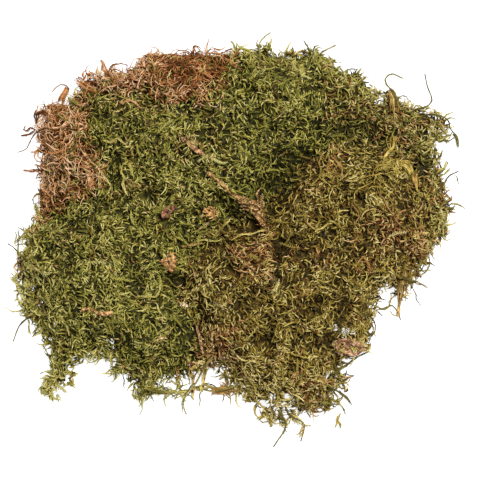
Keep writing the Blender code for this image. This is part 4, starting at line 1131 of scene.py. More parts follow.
# Stems that lie on top or hang over the edges, by the node they belong to: half width in millimetres,
# place in its palette (over 0.5 for dead ones) and points on the plan in millimetres. Those called
# over_litter lie on the litter too, those called high stand out of the shoots
LAID_STEMS = {
    "green_mat": {
        "over_litter_a": (0.5, 0.34, [(-12, 30), (-8, 33), (-4, 33), (-2, 31)]),
        "over_litter_b": (0.5, 0.28, [(-7, 25), (-4, 28), (0, 30)]),
        "over_litter_c": (0.5, 0.24, [(-1, 19), (2, 22), (3, 26)]),
        "over_litter_d": (0.5, 0.40, [(-31, 49), (-27, 51), (-24, 54)]),
        "over_litter_e": (0.5, 0.30, [(-26, 45), (-23, 49), (-19, 50)]),
        "over_litter_f": (0.6, 0.26, [(-18, 36), (-14, 40), (-10, 41)]),
        "over_litter_g": (0.5, 0.36, [(-15, 34), (-11, 37), (-8, 40)]),
        "over_litter_h": (0.6, 0.30, [(-24, 43), (-20, 46), (-17, 46), (-15, 44)]),
        "band_top": (1.0, 0.40, [(-53, -82), (-47, -83), (-42, -83), (-37, -84), (-31, -84), (-25, -83)]),
        "band_low": (1.0, 0.46, [(-53, -84), (-47, -85), (-41, -85), (-35, -85), (-29, -84), (-23, -84)]),
        "top_right": (0.6, 0.45, [(51, 90), (54, 88), (57, 85), (58, 81), (57, 77)]),
        "left_pale": (0.8, 0.46, [(-83, 49), (-80, 45), (-75, 40), (-72, 36), (-69, 32), (-67, 29),
                                  (-68, 26)]),
        "left_pink": (0.6, 0.94, [(-85, 44), (-80, 41), (-76, 39)]),
        "left_band": (0.9, 0.38, [(-75, 38), (-74, 34), (-73, 29), (-74, 24)]),
        "frond_stem": (0.7, 0.46, [(-57, 43), (-60, 41), (-61, 37), (-60, 33), (-60, 29), (-57, 24)]),
        "frond_leaf_a": (0.5, 0.44, [(-60, 41), (-58, 41), (-55, 40)]),
        "frond_leaf_b": (0.5, 0.43, [(-61, 38), (-58, 38), (-55, 38)]),
        "frond_arch": (0.8, 0.43, [(-71, 54), (-67, 53), (-64, 55), (-60, 53), (-58, 50)]),
        "hollow_rim": (0.6, 0.45, [(-66, 46), (-65, 49), (-61, 51)]),
        "straw_bend": (0.9, 0.45, [(-53, -31), (-46, -31), (-42, -31), (-40, -27), (-40, -20)]),
        "spike_a": (0.5, 0.47, [(-59, -39), (-59, -43), (-58, -47)]),
        "spike_b": (0.4, 0.49, [(-58, -40), (-55, -44)]),
        "fan": (0.6, 0.44, [(-60, -33), (-54, -34), (-49, -37), (-46, -41)]),
        "stalk": (0.45, 0.97, [(-27, -10), (-25, -10), (-24, -13), (-22, -18), (-20, -22)]),
        "yellow_rise": (0.7, 0.46, [(-11, 1), (-8, 5), (-5, 8), (-1, 12)]),
        "yellow_run": (0.8, 0.45, [(-20, -1), (-15, 0), (-11, -1), (-6, 0)]),
        "pink_run": (0.7, 0.93, [(-28, -4), (-23, -3), (-17, -2)]),
        "grey_stem": (0.5, 0.34, [(-39, -19), (-36, -22), (-33, -25), (-29, -28)]),
        "low_pair": (0.5, 0.42, [(-41, -53), (-37, -52), (-34, -49), (-32, -47)]),
        "arch_dark": (0.4, 0.10, [(-18, -75), (-22, -80), (-26, -84), (-29, -87)]),
        "root_a": (0.4, 0.20, [(-18, -82), (-18, -86), (-19, -92)]),
        "root_b": (0.4, 0.20, [(-22, -82), (-25, -86), (-28, -90), (-28, -95)]),
        "lace_left": (0.5, 0.28, [(-41, -80), (-36, -83), (-31, -82), (-27, -80), (-24, -79)]),
        "brown_post": (0.7, 0.86, [(-31, -70), (-31, -74), (-30, -78)]),
        "left_foot": (0.5, 0.25, [(-48, -85), (-51, -86), (-54, -86)]),
        "lobe_twig": (0.5, 0.12, [(-62, -65), (-67, -65), (-72, -64), (-75, -62)]),
        "lobe_thorn_a": (0.5, 0.12, [(-61, -73), (-61, -78), (-60, -82)]),
        "lobe_thorn_b": (0.5, 0.12, [(-58, -74), (-58, -79)]),
        "lobe_thorn_c": (0.5, 0.16, [(-63, -67), (-68, -67)]),
        "lobe_thorn_d": (0.5, 0.16, [(-63, -70), (-68, -71)]),
        "left_tuft": (0.9, 0.45, [(-108, 0), (-111, 2), (-115, 4), (-116, 7)]),
        "left_y": (0.4, 0.12, [(-114, 4), (-117, 6), (-119, 7)]),
        "maroon_a": (0.65, 0.50, [(-91, 8), (-89, 5), (-87, 1)]),
        "maroon_b": (0.65, 0.52, [(-89, 8), (-88, 4), (-88, 1)]),
        "left_tan_a": (1.0, 0.99, [(-114, -10), (-118, -12), (-121, -15), (-120, -17)]),
        "left_tan_b": (0.8, 0.99, [(-114, -15), (-117, -17), (-119, -16)]),
        "left_thorn": (0.5, 0.16, [(-116, -22), (-120, -21), (-123, -20)]),
        "left_low_thorn": (0.5, 0.14, [(-113, -38), (-117, -35), (-119, -34)]),
        "left_sprig": (0.7, 0.34, [(-113, -44), (-113, -48), (-112, -52)]),
        "left_bright": (0.7, 0.46, [(-110, 2), (-108, -2), (-105, -5), (-104, -8)]),
        "top_twig": (0.5, 0.70, [(31, 105), (34, 103), (38, 103), (41, 101)]),
        "top_hook": (0.4, 0.66, [(40, 105), (41, 103), (43, 105), (44, 102)]),
        "edge_sprig": (0.6, 0.14, [(60, 90), (63, 93), (66, 94), (69, 94)]),
    },
    "olive_mat": {
        "spike_b": (0.6, 0.48, [(86, 56), (86, 51), (84, 47), (81, 44)]),
        "spike_c": (0.5, 0.95, [(92, 60), (90, 54), (87, 48), (84, 44)]),
        "ridge_a": (0.6, 0.42, [(75, 34), (77, 39), (82, 41), (86, 40), (89, 37)]),
        "ridge_b": (0.65, 0.42, [(88, 43), (93, 43), (97, 42), (98, 38), (97, 33)]),
        "ridge_c": (0.6, 0.46, [(71, 33), (76, 35), (81, 36), (86, 36), (93, 37)]),
        "tuft_a": (0.6, 0.40, [(52, 46), (48, 45), (47, 40), (47, 35), (44, 31), (39, 30)]),
        "tuft_b": (0.6, 0.42, [(49, 37), (47, 34), (50, 31), (53, 28)]),
        "tuft_c": (0.7, 0.93, [(54, 45), (57, 42), (59, 38), (59, 33)]),
        "tuft_d": (1.6, 0.80, [(52, 46), (52, 41), (51, 36)]),
        "quills_a": (0.6, 0.48, [(35, 27), (34, 23), (32, 19)]),
        "quills_b": (0.6, 0.46, [(32, 27), (31, 23), (31, 20)]),
        "long": (0.6, 0.45, [(76, 31), (71, 29), (67, 27), (66, 23), (66, 19)]),
        "long_brown": (0.9, 0.82, [(64, 19), (67, 16), (68, 12), (65, 8)]),
        "pale_a": (0.8, 0.45, [(44, 4), (49, 7), (54, 10)]),
        "pale_b": (0.9, 0.46, [(55, 14), (58, 15), (62, 16)]),
        "right_pink": (0.5, 0.96, [(78, 28), (80, 23), (83, 18), (87, 12), (91, 7)]),
        "right_blade": (0.7, 0.49, [(104, 26), (107, 21), (108, 16), (109, 11)]),
        "right_run": (0.5, 0.95, [(95, 11), (100, 9), (105, 6)]),
        "brown_fan_a": (0.8, 0.86, [(71, -9), (68, -12), (64, -16)]),
        "brown_fan_b": (0.7, 0.84, [(71, -10), (74, -15), (73, -20)]),
        "blade_a": (0.6, 0.44, [(85, -10), (82, -14), (80, -18)]),
        "blade_b": (0.7, 0.47, [(84, -15), (87, -18), (88, -21)]),
        "crevice_pale": (1.0, 0.48, [(-1, 0), (3, 2), (8, 3), (13, 4), (18, 6)]),
        "ring": (0.4, 0.48, [(27, 13), (28, 16), (26, 18), (24, 18), (23, 16), (25, 14), (28, 17), (28, 20)]),
        "pale_low": (0.8, 0.48, [(9, -17), (11, -20), (13, -23)]),
        "s_curve": (0.6, 0.46, [(40, -19), (46, -21), (51, -24)]),
        "low_run": (0.8, 0.46, [(4, -65), (5, -70), (7, -74), (10, -78), (12, -82), (12, -86)]),
        "low_arc": (0.5, 0.94, [(17, -67), (22, -67), (26, -64), (29, -60)]),
        "low_brown": (1.1, 0.80, [(31, -75), (34, -73), (38, -71)]),
        "low_cross": (0.5, 0.46, [(35, -62), (39, -64), (43, -64)]),
        "bar_thorn": (0.4, 0.10, [(-5, -84), (-5, -87), (-6, -90)]),
        "bar_arc": (0.4, 0.10, [(-17, -80), (-12, -80), (-8, -82), (-5, -81)]),
        "knob_low": (0.7, 0.26, [(7, -82), (8, -86), (7, -90)]),
        "tip_edge": (1.0, 0.42, [(9, -84), (12, -88), (16, -92), (19, -96)]),
        "tip_knob": (1.5, 0.38, [(18, -94), (19, -97), (20, -100), (21, -103)]),
        "tip_curl_a": (0.6, 0.46, [(24, -96), (28, -98), (30, -101), (28, -105), (30, -107)]),
        "tip_curl_b": (0.6, 0.46, [(24, -97), (26, -101), (28, -104)]),
        "tip_strand": (0.5, 0.12, [(27, -94), (31, -94), (34, -95)]),
        "tip_bar": (0.6, 0.08, [(30, -89), (33, -91), (35, -92)]),
        "tip_thorn_a": (0.5, 0.12, [(37, -92), (36, -97)]),
        "tip_thorn_b": (0.5, 0.12, [(40, -94), (42, -98)]),
        "fork_leafy": (1.0, 0.42, [(39, -102), (38, -105), (37, -109)]),
        "fork_pink": (0.5, 0.95, [(38, -104), (36, -107), (34, -108)]),
        "tip_twig": (0.5, 0.20, [(47, -94), (52, -94), (55, -93)]),
        "tip_thick": (0.9, 0.2, [(50, -82), (56, -83), (62, -87), (64, -90)]),
        "tip_twig_b": (0.7, 0.24, [(47, -88), (54, -88), (59, -91), (61, -94)]),
        "tip_twig_c": (0.7, 0.16, [(55, -80), (60, -79), (64, -76), (66, -75)]),
        "tip_loop": (0.5, 0.10, [(56, -80), (57, -77), (60, -75), (62, -74), (65, -75), (67, -75)]),
        "tip_loop_low": (0.5, 0.12, [(65, -75), (63, -77), (61, -78), (60, -80), (60, -82)]),
        "curl_leaf_a": (1.3, 0.44, [(59, -96), (58, -98), (57, -101)]),
        "curl_leaf_b": (1.2, 0.47, [(57, -97), (58, -99), (58, -101)]),
        "curl_leaf_c": (0.8, 0.40, [(58, -100), (59, -102), (59, -104)]),
        "curl_leaf_d": (0.8, 0.40, [(58, -100), (57, -102), (56, -104)]),
        "curl_right": (0.5, 0.22, [(53, -71), (54, -74), (57, -74), (58, -71), (56, -69)]),
        "right_stub": (0.5, 0.93, [(106, -6), (109, -8), (111, -11)]),
        "right_loop": (0.5, 0.24, [(107, -5), (108, -10), (108, -14), (106, -17), (103, -20), (101, -22)]),
        "right_bar": (0.5, 0.24, [(106, -17), (103, -17), (98, -17)]),
        "hang_twig": (0.4, 0.16, [(98, -25), (100, -29), (101, -33), (103, -36)]),
        "hang_bud": (1.0, 0.80, [(91, -24), (94, -27), (96, -29)]),
        "high_hang_blade": (0.68, 0.36, [(98, -23), (102, -24), (107, -26)]),
        "high_hook_main": (0.69, 0.24, [(79, -39), (83, -38), (86, -37), (87, -33), (87, -30)]),
        "high_hook_tail": (0.6, 0.36, [(86, -38), (88, -41), (91, -43)]),
        "high_hook_down": (0.6, 0.20, [(76, -38), (76, -44), (77, -49)]),
        "hook_foot": (0.5, 0.12, [(77, -38), (80, -40), (82, -42)]),
        "thorn_right_a": (0.4, 0.12, [(78, -31), (82, -32)]),
        "thorn_right_b": (0.4, 0.12, [(78, -33), (82, -34)]),
        "down_side": (0.7, 0.14, [(71, -45), (73, -49), (75, -52)]),
        "down_leafy": (0.9, 0.40, [(75, -51), (73, -55), (73, -60)]),
    },
    "under_mat": {
        "spike_a": (0.6, 0.14, [(65, 86), (68, 88), (69, 90)]),
        "spike_b": (0.7, 0.14, [(68, 83), (70, 87), (73, 90)]),
        "spike_c": (0.5, 0.30, [(74, 82), (71, 85), (72, 87)]),
        "hole_twig": (0.5, 0.12, [(78, 80), (82, 81), (87, 81)]),
        "hole_twig_low": (0.4, 0.14, [(80, 74), (83, 76), (87, 77)]),
        "arch": (0.5, 0.20, [(90, 74), (92, 78), (95, 79), (97, 76)]),
        "inner_loop": (0.4, 0.30, [(109, 65), (112, 62), (116, 61)]),
        "club_right": (1.3, 0.26, [(121, 58), (123, 56), (124, 51)]),
        "club_branch": (0.5, 0.20, [(115, 55), (119, 55), (123, 56)]),
        "edge_blade": (0.7, 0.18, [(111, 43), (114, 46), (115, 49)]),
        "edge_club": (1.1, 0.32, [(111, 36), (116, 39), (118, 43)]),
        "edge_club_low": (0.7, 0.34, [(112, 34), (116, 36), (119, 39)]),
        "fork_low": (0.3, 0.20, [(123, 36), (124, 34), (124, 31)]),
    },
    "brown_tuft_left": {
        "horn_a": (0.6, 0.03, [(-105, 76), (-104, 73), (-102, 71)]),
        "horn_b": (0.6, 0.03, [(-103, 75), (-102, 72), (-101, 70)]),
        "rim_ring": (0.6, 0.04, [(-110, 62), (-108, 63), (-107, 62), (-105, 61)]),
        "hook_long": (0.8, 0.05, [(-107, 58), (-110, 61), (-112, 62), (-114, 60), (-116, 61), (-115, 63)]),
        "hook_side": (0.8, 0.05, [(-110, 60), (-113, 58), (-117, 57)]),
        "rim_wire": (0.6, 0.06, [(-106, 55), (-105, 52), (-104, 49), (-105, 45), (-106, 43)]),
        "low_club": (1.0, 0.2, [(-103, 38), (-108, 38), (-112, 38), (-116, 38)]),
        "low_wire_a": (0.6, 0.04, [(-105, 43), (-106, 39), (-110, 39)]),
        "low_wire_b": (0.6, 0.04, [(-105, 38), (-108, 36), (-109, 34)]),
        "low_wire_c": (0.6, 0.04, [(-103, 34), (-106, 35), (-109, 34)]),
        "low_stub": (0.8, 0.04, [(-103, 26), (-106, 27), (-108, 28)]),
        "sweep_a": (0.8, 0.42, [(-84, 51), (-82, 47), (-78, 43), (-76, 41)]),
        "sweep_b": (0.8, 0.40, [(-85, 40), (-80, 38), (-77, 34), (-77, 31)]),
        "sweep_c": (1.4, 0.38, [(-80, 36), (-79, 32), (-79, 28)]),
        "sweep_d": (0.7, 0.38, [(-92, 38), (-90, 34), (-91, 30)]),
        "sweep_e": (0.7, 0.44, [(-103, 62), (-98, 61), (-93, 62), (-89, 65)]),
    },
    "brown_tuft_top": {
        "broad_foot": (0.6, 0.04, [(-80, 82), (-84, 82), (-87, 82)]),
        "arc_dark": (0.6, 0.02, [(-65, 90), (-67, 92), (-68, 94), (-66, 97), (-63, 98)]),
        "arc_right": (0.6, 0.02, [(-61, 97), (-59, 97), (-59, 94)]),
        "stub_a": (0.9, 0.04, [(-73, 88), (-72, 85), (-71, 82)]),
        "stub_b": (0.6, 0.04, [(-76, 88), (-75, 90), (-73, 88), (-72, 86)]),
        "top_hook": (0.7, 0.04, [(-24, 100), (-22, 104), (-21, 107), (-18, 105)]),
        "fold_a": (0.9, 0.42, [(-61, 74), (-58, 76), (-54, 75), (-51, 72)]),
        "fold_b": (0.8, 0.40, [(-72, 81), (-68, 84), (-63, 85)]),
    },
    "straw_leaf_scrap": {
        "curl_f": (1.1, 0.0, [(-16, 15), (-13, 15), (-10, 12)]),
        "curl_g": (1.1, 0.0, [(-15, 13), (-12, 14), (-10, 16)]),
        "curl_a": (0.8, 0.0, [(-17, 15), (-15, 17), (-12, 16), (-11, 13), (-13, 11)]),
        "curl_b": (0.7, 0.0, [(-15, 12), (-13, 14), (-10, 15), (-9, 12)]),
        "curl_c": (0.8, 0.0, [(-16, 17), (-14, 15), (-12, 12), (-10, 10)]),
        "curl_d": (0.6, 0.0, [(-14, 18), (-11, 17), (-9, 15)]),
        "curl_e": (0.6, 0.0, [(-17, 13), (-14, 13), (-12, 14), (-10, 17)]),
    },
    "splinter_small": {
        "shaft": (0.7, 0.0, [(-44, -56), (-40, -54), (-36, -54)]),
    },
    "purple_leaf_scrap": {
        "blade_a": (1.0, 0.0, [(-39, 12), (-36, 15), (-33, 18)]),
        "blade_b": (1.0, 0.0, [(-38, 12), (-35, 14), (-32, 17)]),
        "blade_c": (0.8, 0.0, [(-37, 15), (-34, 17), (-31, 18)]),
    },
    "bark_flake": {
        "rib_a": (0.8, 0.0, [(-40, -12), (-36, -10), (-32, -9)]),
        "rib_b": (0.8, 0.0, [(-40, -12), (-36, -11), (-31, -11)]),
        "rib_c": (0.8, 0.0, [(-40, -12), (-35, -13), (-31, -13)]),
        "rib_d": (0.8, 0.0, [(-39, -13), (-35, -14), (-32, -15)]),
        "rib_e": (0.8, 0.0, [(-39, -13), (-35, -15), (-31, -17)]),
    },
    "dead_stem": {
        "stalk": (0.9, 0.0, [(14, 29), (13, 25), (14, 20), (15, 14)]),
        "fibre_a": (1.2, 0.0, [(3, 20), (7, 21), (11, 20), (14, 17)]),
        "fibre_b": (1.2, 0.0, [(4, 18), (8, 18), (12, 16), (16, 12)]),
        "fibre_e": (1.0, 0.0, [(2, 22), (6, 23), (10, 22), (13, 20)]),
        "fibre_c": (1.0, 0.0, [(5, 16), (9, 16), (13, 13)]),
        "fibre_d": (0.6, 0.0, [(10, 21), (13, 19), (16, 15), (18, 10)]),
    },
    "pink_leaf": {
        "curl_a": (0.8, 0.0, [(54, -58), (57, -56), (61, -57), (63, -60)]),
        "curl_b": (0.8, 0.0, [(56, -62), (60, -61), (64, -63), (67, -61)]),
        "curl_c": (0.7, 0.0, [(59, -59), (62, -59), (66, -57), (70, -59)]),
        "curl_d": (0.7, 0.0, [(60, -65), (63, -64), (66, -65)]),
        "fold_a": (1.3, 0.0, [(56, -56), (57, -60), (60, -63), (63, -64)]),
        "fold_b": (1.2, 0.0, [(60, -56), (62, -59), (65, -61), (65, -63)]),
        "fold_c": (1.0, 0.0, [(57, -60), (61, -58), (65, -57), (69, -58)]),
    },
}
# Sheaves of stems side by side, by the node they belong to: how many, their places in the palette, one
# after the other, and the two edges that they fill, by points on the plan in millimetres
SHEAVES = {
    "green_mat": {
        "arch_top": (9, (0.47, 0.86, 0.44, 0.96, 0.40, 0.82),
                     [(-25, -70), (-22, -67), (-18, -66), (-14, -68)],
                     [(-23, -72), (-21, -72), (-18, -72), (-15, -73)]),
        "arch_left": (3, (0.98, 0.48, 0.96),
                      [(-25, -70), (-24, -75), (-23, -80)], [(-23, -71), (-22, -75), (-22, -80)]),
        "arch_right": (3, (0.46, 0.88, 0.44),
                       [(-14, -68), (-15, -73), (-16, -80)], [(-16, -72), (-17, -75), (-18, -80)]),
        "knot_left": (3, (0.48, 0.46, 0.97),
                      [(-24, -80), (-23, -84), (-22, -88)], [(-21, -80), (-21, -84), (-22, -88)]),
        "knot_right": (4, (0.48, 0.45, 0.48),
                       [(-20, -79), (-19, -82), (-18, -85)], [(-15, -80), (-16, -82), (-17, -84)]),
    },
    "olive_mat": {
        "brown_bar": (7, (0.74, 0.86, 0.70, 0.92, 0.80),
                      [(-12, -82), (-8, -81), (-3, -81), (3, -81)],
                      [(-12, -86), (-7, -86), (-3, -85), (2, -83)]),
        "hanging": (4, (0.84, 0.46, 0.94, 0.80),
                    [(91, -22), (90, -28), (90, -35), (90, -43)],
                    [(95, -22), (94, -28), (92, -34), (92, -43)]),
        "golden_spikes": (3, (0.37, 0.34, 0.37),
                          [(87, 56), (87, 51), (84, 48), (82, 44)],
                          [(90, 56), (88, 52), (86, 48), (83, 45)]),
        "golden_fold": (4, (0.34, 0.28, 0.36),
                        [(92, 43), (95, 43), (97, 41), (98, 37)],
                        [(90, 40), (93, 40), (95, 38), (96, 35)]),
        "golden_fall": (4, (0.82, 0.30, 0.78, 0.34),
                        [(97, 37), (98, 33), (99, 28)], [(101, 36), (101, 31), (102, 26)]),
    },
    "under_mat": {
        "hook_tuft": (5, (0.74, 0.82, 0.44, 0.78, 0.86),
                      [(86, 70), (86, 76), (86, 83)], [(91, 70), (90, 76), (87, 83)]),
    },
    "brown_tuft_top": {
        "broad_leaf": (5, (0.16, 0.27, 0.12, 0.31),
                       [(-75, 80), (-81, 82), (-87, 86)], [(-76, 83), (-81, 87), (-85, 90)]),
        "spike": (3, (0.22, 0.28, 0.18),
                  [(-70, 89), (-72, 94), (-74, 99)], [(-68, 90), (-70, 95), (-73, 99)]),
    },
    "brown_tuft_left": {
        "prong_leg": (3, (0.04, 0.10, 0.03),
                      [(-110, 72), (-110, 68), (-109, 64)], [(-107, 71), (-107, 68), (-108, 64)]),
        "prong_block": (3, (0.14, 0.06, 0.12),
                        [(-109, 71), (-105, 71), (-101, 70)], [(-109, 69), (-105, 69), (-102, 68)]),
        "loop_foot": (5, (0.24, 0.17, 0.29, 0.21),
                      [(-97, 76), (-96, 79), (-93, 84)], [(-94, 76), (-93, 79), (-91, 84)]),
    },
}
WEB_TINTS, WEB_GOLDS, WEB_BROWNS = (0.12, 0.49), (0.36, 0.49), (0.75, 1.0)
# Webs of short stems where a mat thins out: plan place, half size across and up in millimetres, how many
# stems and, where it isn't WEB_TINTS, their range of places in the palette
WEBS = {
    "green_mat": ((-46, -83, 5, 2.5, 34), (-37, -84, 5, 1.2, 16), (-29, -84, 4, 1.2, 10),
                  (-30, -78, 3, 2, 5), (-33, -75, 5, 1.5, 8), (-19, -82, 2, 1.8, 8),
                  (-105, -50, 5, 6, 10), (45, 103, 6, 3, 8), (-118, 0, 3, 6, 6)),
    "olive_mat": ((-4, -75, 2.5, 5, 12), (-8, -68, 5, 2, 8), (-13, -82, 3, 2, 5), (-4, -83, 7, 1.5, 8),
                  (-4, -83, 7, 1.2, 26, WEB_BROWNS), (21, -100, 2, 2.5, 6), (27, -99, 3, 4, 5),
                  (88, 40, 10, 4, 22, WEB_GOLDS), (52, 38, 4, 6, 12, WEB_GOLDS),
                  (86, 52, 3, 6, 10, WEB_GOLDS), (44, -94, 4, 2, 12, WEB_BROWNS), (57, -80, 3, 6, 8),
                  (52, -90, 5, 5, 8), (57, -72, 4, 3, 6), (92, -31, 1.5, 6, 8), (96, -24, 4, 2, 6),
                  (104, -14, 4, 6, 8), (72, -50, 4, 7, 8), (111, 8, 3, 12, 8)),
    "under_mat": ((115, 58, 5, 5, 12), (112, 42, 4, 6, 8), (88, 78, 6, 4, 10), (68, 86, 5, 3, 6)),
    "brown_tuft_left": ((-106, 70, 3, 5, 8), (-106, 38, 3, 6, 8), (-106, 57, 3, 4, 6)),
    "brown_tuft_top": ((-82, 84, 5, 3, 8), (-66, 90, 6, 3, 8), (-10, 104, 10, 3, 8)),
}
WEB_STEP, WEB_TURN = 2.2, 0.8  # millimetres between the points of a web's stem, and its most turn at one
WEB_WIDTHS = (0.55, 0.69)
LAID_LIFT, LAID_LEAST = -0.1 * MM, 1.4 * MM  # above the tips, and the least height over the floor
HIGH_LIFT = 1.2 * MM  # above the tips, for the stems called high
SHEAF_LIFT = 2.0 * MM
SHEAF_WIDTH = 0.5  # half width of its stems in millimetres
LAID_THIN = 0.6  # least half width in millimetres
LAID_SHADE = 0.68  # of a stem's place in its palette
# A stem of this half width is a lock of so many strands, each of this share of it
LOCK_FROM, LOCK_STRANDS, LOCK_SHARE = 0.7, 3, 0.62
LOCK_TINT = 0.05  # in the palette from one strand to the next
# How each kind of stem is built: step, gap between leaves, their reach and lean, and the bare stem's share
STEM_KEYS = ("Step", "Leaf gap", "Leaf reach", "Leaf lean", "Stem share")
STEM_SETTINGS = {
    "plaited": (1.1 * MM, 0.45 * MM, 2.2, 0.5, 0.55),
    "scaly": (0.9 * MM, 0.34 * MM, 2.0, 0.5, 0.58),
    "wiry": (0.9 * MM, 0.6 * MM, 1.8, 0.5, 0.95),
    "bare": (0.9 * MM, 1.3 * MM, 1.6, 0.25, 0.95),
    "woody": (0.9 * MM, 0.34 * MM, 1.7, 0.5, 0.68),
}
STEM_SWAY, STEM_TINT_SWAY = 0.8 * MM, 0.11  # how far a laid stem and its colour stray from its own line
TINT_ACROSS, TINT_LAYER = 2.5, 6.0
PALETTE_LOW, PALETTE_HIGH = 0.02, 0.99
SWAY_ACROSS, SWAY_LAYERS, STRAND_LAYERS = 4.0, (12, 15), 9
LAID_STEP, END_TAPER = 1.5 * MM, 0.5
LAID_SEED, SHEAF_SEED = 5, 6
TWIGS = ("bark_strip", "dead_stem", "pale_twig", "splinter_low")
FIBRES_ONLY = ("straw_leaf_scrap", "splinter_small")


def spine_of(node):
    """The middle line and radius of a packed stem, ring by ring from its root to its tip."""
    work = bmesh.new()
    work.from_mesh(frame["nodes"][node].data)
    bmesh.ops.remove_doubles(work, verts=work.verts, dist=WELD)

    def layers(start):
        seen, found = set(start), [list(start)]
        while found[-1]:
            ring = {e.other_vert(v) for v in found[-1] for e in v.link_edges} - seen
            seen |= ring
            found.append(sorted(ring, key=lambda v: v.index))
        return found[:-1]

    rings = max((layers([v]) for v in work.verts), key=len)
    spine = []
    for ring in rings:
        middle = sum((v.co for v in ring), Vector()) / len(ring)
        spine.append((middle, max((v.co - middle).length for v in ring)))
    work.free()
    half = len(spine) // 2
    is_tip_first = sum(r for _, r in spine[:half]) < sum(r for _, r in spine[-half:])
    return spine[::-1] if is_tip_first else spine


def stems_guide(name, stems):
    """Lines of edges with a girth and a tint, from (points, girths, tint) for each stem."""
    points, edges, girths, tints = [], [], [], []
    for line, widths, tint in stems:
        edges += [(len(points) + i, len(points) + i + 1) for i in range(len(line) - 1)]
        points += line
        girths += widths
        sways = [STEM_TINT_SWAY * drift(p.x, p.y, TINT_ACROSS, TINT_LAYER) for p in line]
        tints += [min(PALETTE_HIGH, max(PALETTE_LOW, tint + sway)) for sway in sways]
    guide = mesh_object(name + "_guide", points, (), edges)
    store(guide.data, "girth", girths)
    store(guide.data, "spot_tint", tints)
    return guide


def smooth_line(points, step):
    """Points at even steps on a smooth curve through these ones."""
    ends = [2 * points[0] - points[1], *points, 2 * points[-1] - points[-2]]
    line = []
    for a, b, c, d in zip(ends, ends[1:], ends[2:], ends[3:]):
        count = max(1, round((c - b).length / step))
        for n in range(count):
            t = n / count
            line.append(0.5 * (2 * b + (c - a) * t + (2 * a - 5 * b + 4 * c - d) * t * t
                               + (3 * b - a - 3 * c + d) * t ** 3))
    return line + [points[-1]]


def grow_stems(shop, name, stems, material, seed, kind):
    leaf = shop.scale if kind == "woody" else shop.leaf
    return grown(stems_guide(name, stems), shop.stems, {
        **dict(zip(STEM_KEYS, STEM_SETTINGS[kind])), "Leaf": leaf, "Seed": seed, "Material": material})


def spine_stem(node):
    """A packed stem's line and widths, for a stem that grows in its place."""
    spine = spine_of(node)
    least = STEM_LEAST * max(r for _, r in spine)
    return [p for p, _ in spine], [max(least, r) for _, r in spine]


def web(rng, x, y, across, up, count, tints=WEB_TINTS):
    """Short stems that wander through an ellipse, each with a half width and a place in the palette."""
    for _ in range(count):
        side, rise = rng.uniform(-1, 1), rng.uniform(-1, 1)
        place = (x + side * across, y + rise * up)
        heading = math.atan2(-rise * up, -side * across) + rng.uniform(-WEB_TURN, WEB_TURN)
        plan = [place]
        for _ in range(rng.randint(2, 4)):
            place = (place[0] + WEB_STEP * math.cos(heading), place[1] + WEB_STEP * math.sin(heading))
            heading += rng.uniform(-WEB_TURN, WEB_TURN)
            plan.append(place)
        yield rng.uniform(*WEB_WIDTHS), rng.uniform(*tints), plan


def sheaf(count, tints, near, far):
    """Stems side by side from one edge to the other, each with a half width and a place in the palette."""
    for n in range(count):
        share = (n + 0.5) / count
        plan = [(a + (c - a) * share, b + (d - b) * share) for (a, b), (c, d) in zip(near, far)]
        yield SHEAF_WIDTH, tints[n % len(tints)], plan


def laid_stem(ground, radius, plan, on_litter, lift, strand=0):
    """The line and widths of a stem that lies on the shoots and, past them, just over the floor."""
    line = smooth_line([Vector((x * MM, y * MM, 0)) for x, y in plan], LAID_STEP)
    for p in line:
        sway = [drift(p.x, p.y, SWAY_ACROSS, layer + STRAND_LAYERS * strand) for layer in SWAY_LAYERS]
        p += Vector((*sway, 0)) * STEM_SWAY
    least = LAID_LEAST + radius * MM
    heights = [max(ground.height_at(p.x, p.y, on_litter) + lift, least) for p in line]
    for p, z in zip(line, np.convolve(np.pad(heights, 2, mode="edge"), np.full(5, 0.2), "valid")):
        p.z = z
    last = len(line) - 1
    return line, [radius * MM * (1 - END_TAPER * (2 * i / last - 1) ** 2) for i in range(len(line))]


def laid_lines(ground, node):
    """The stems and webs on top of a node, each with its line, its widths and its palette place."""
    is_litter = node in LITTER
    rng = random.Random(node)
    webs = [("", stem) for place in WEBS.get(node, ()) for stem in web(rng, *place)]
    lines = []
    for label, (radius, tint, plan) in [*LAID_STEMS[node].items(), *webs]:
        is_high = label.startswith("high")
        is_lock = radius >= LOCK_FROM and not is_litter
        on_litter = is_litter or label.startswith("over_litter")
        width = max(LAID_THIN, radius * (LOCK_SHARE if is_lock else 1))
        base = 0.0 if tint < LIVING else LIVING
        shade = base + (tint - base) * (1.0 if is_litter or is_high else LAID_SHADE)
        for strand in range(LOCK_STRANDS if is_lock else 1):
            line = laid_stem(ground, width, plan, on_litter, HIGH_LIFT if is_high else LAID_LIFT, strand)
            lines.append((*line, shade + LOCK_TINT * strand))
    return lines


def sheaf_lines(ground, node):
    """The stems of a node's sheaves, in the same form."""
    return [(*laid_stem(ground, width, plan, False, SHEAF_LIFT), tint)
            for parts in SHEAVES.get(node, {}).values() for width, tint, plan in sheaf(*parts)]


def top_looks(node):
    """The slot and the material of the stems on a node, and their kind."""
    if node in LITTER:
        return LITTER[node][0], litter_material(node), "woody"
    looks = MAT_LOOKS[node]
    living = STRAWS.get(node, looks["living"])
    return looks["slot"], plant_material(f"dry_straw_{node}", living, DEAD_STEM), "plaited"


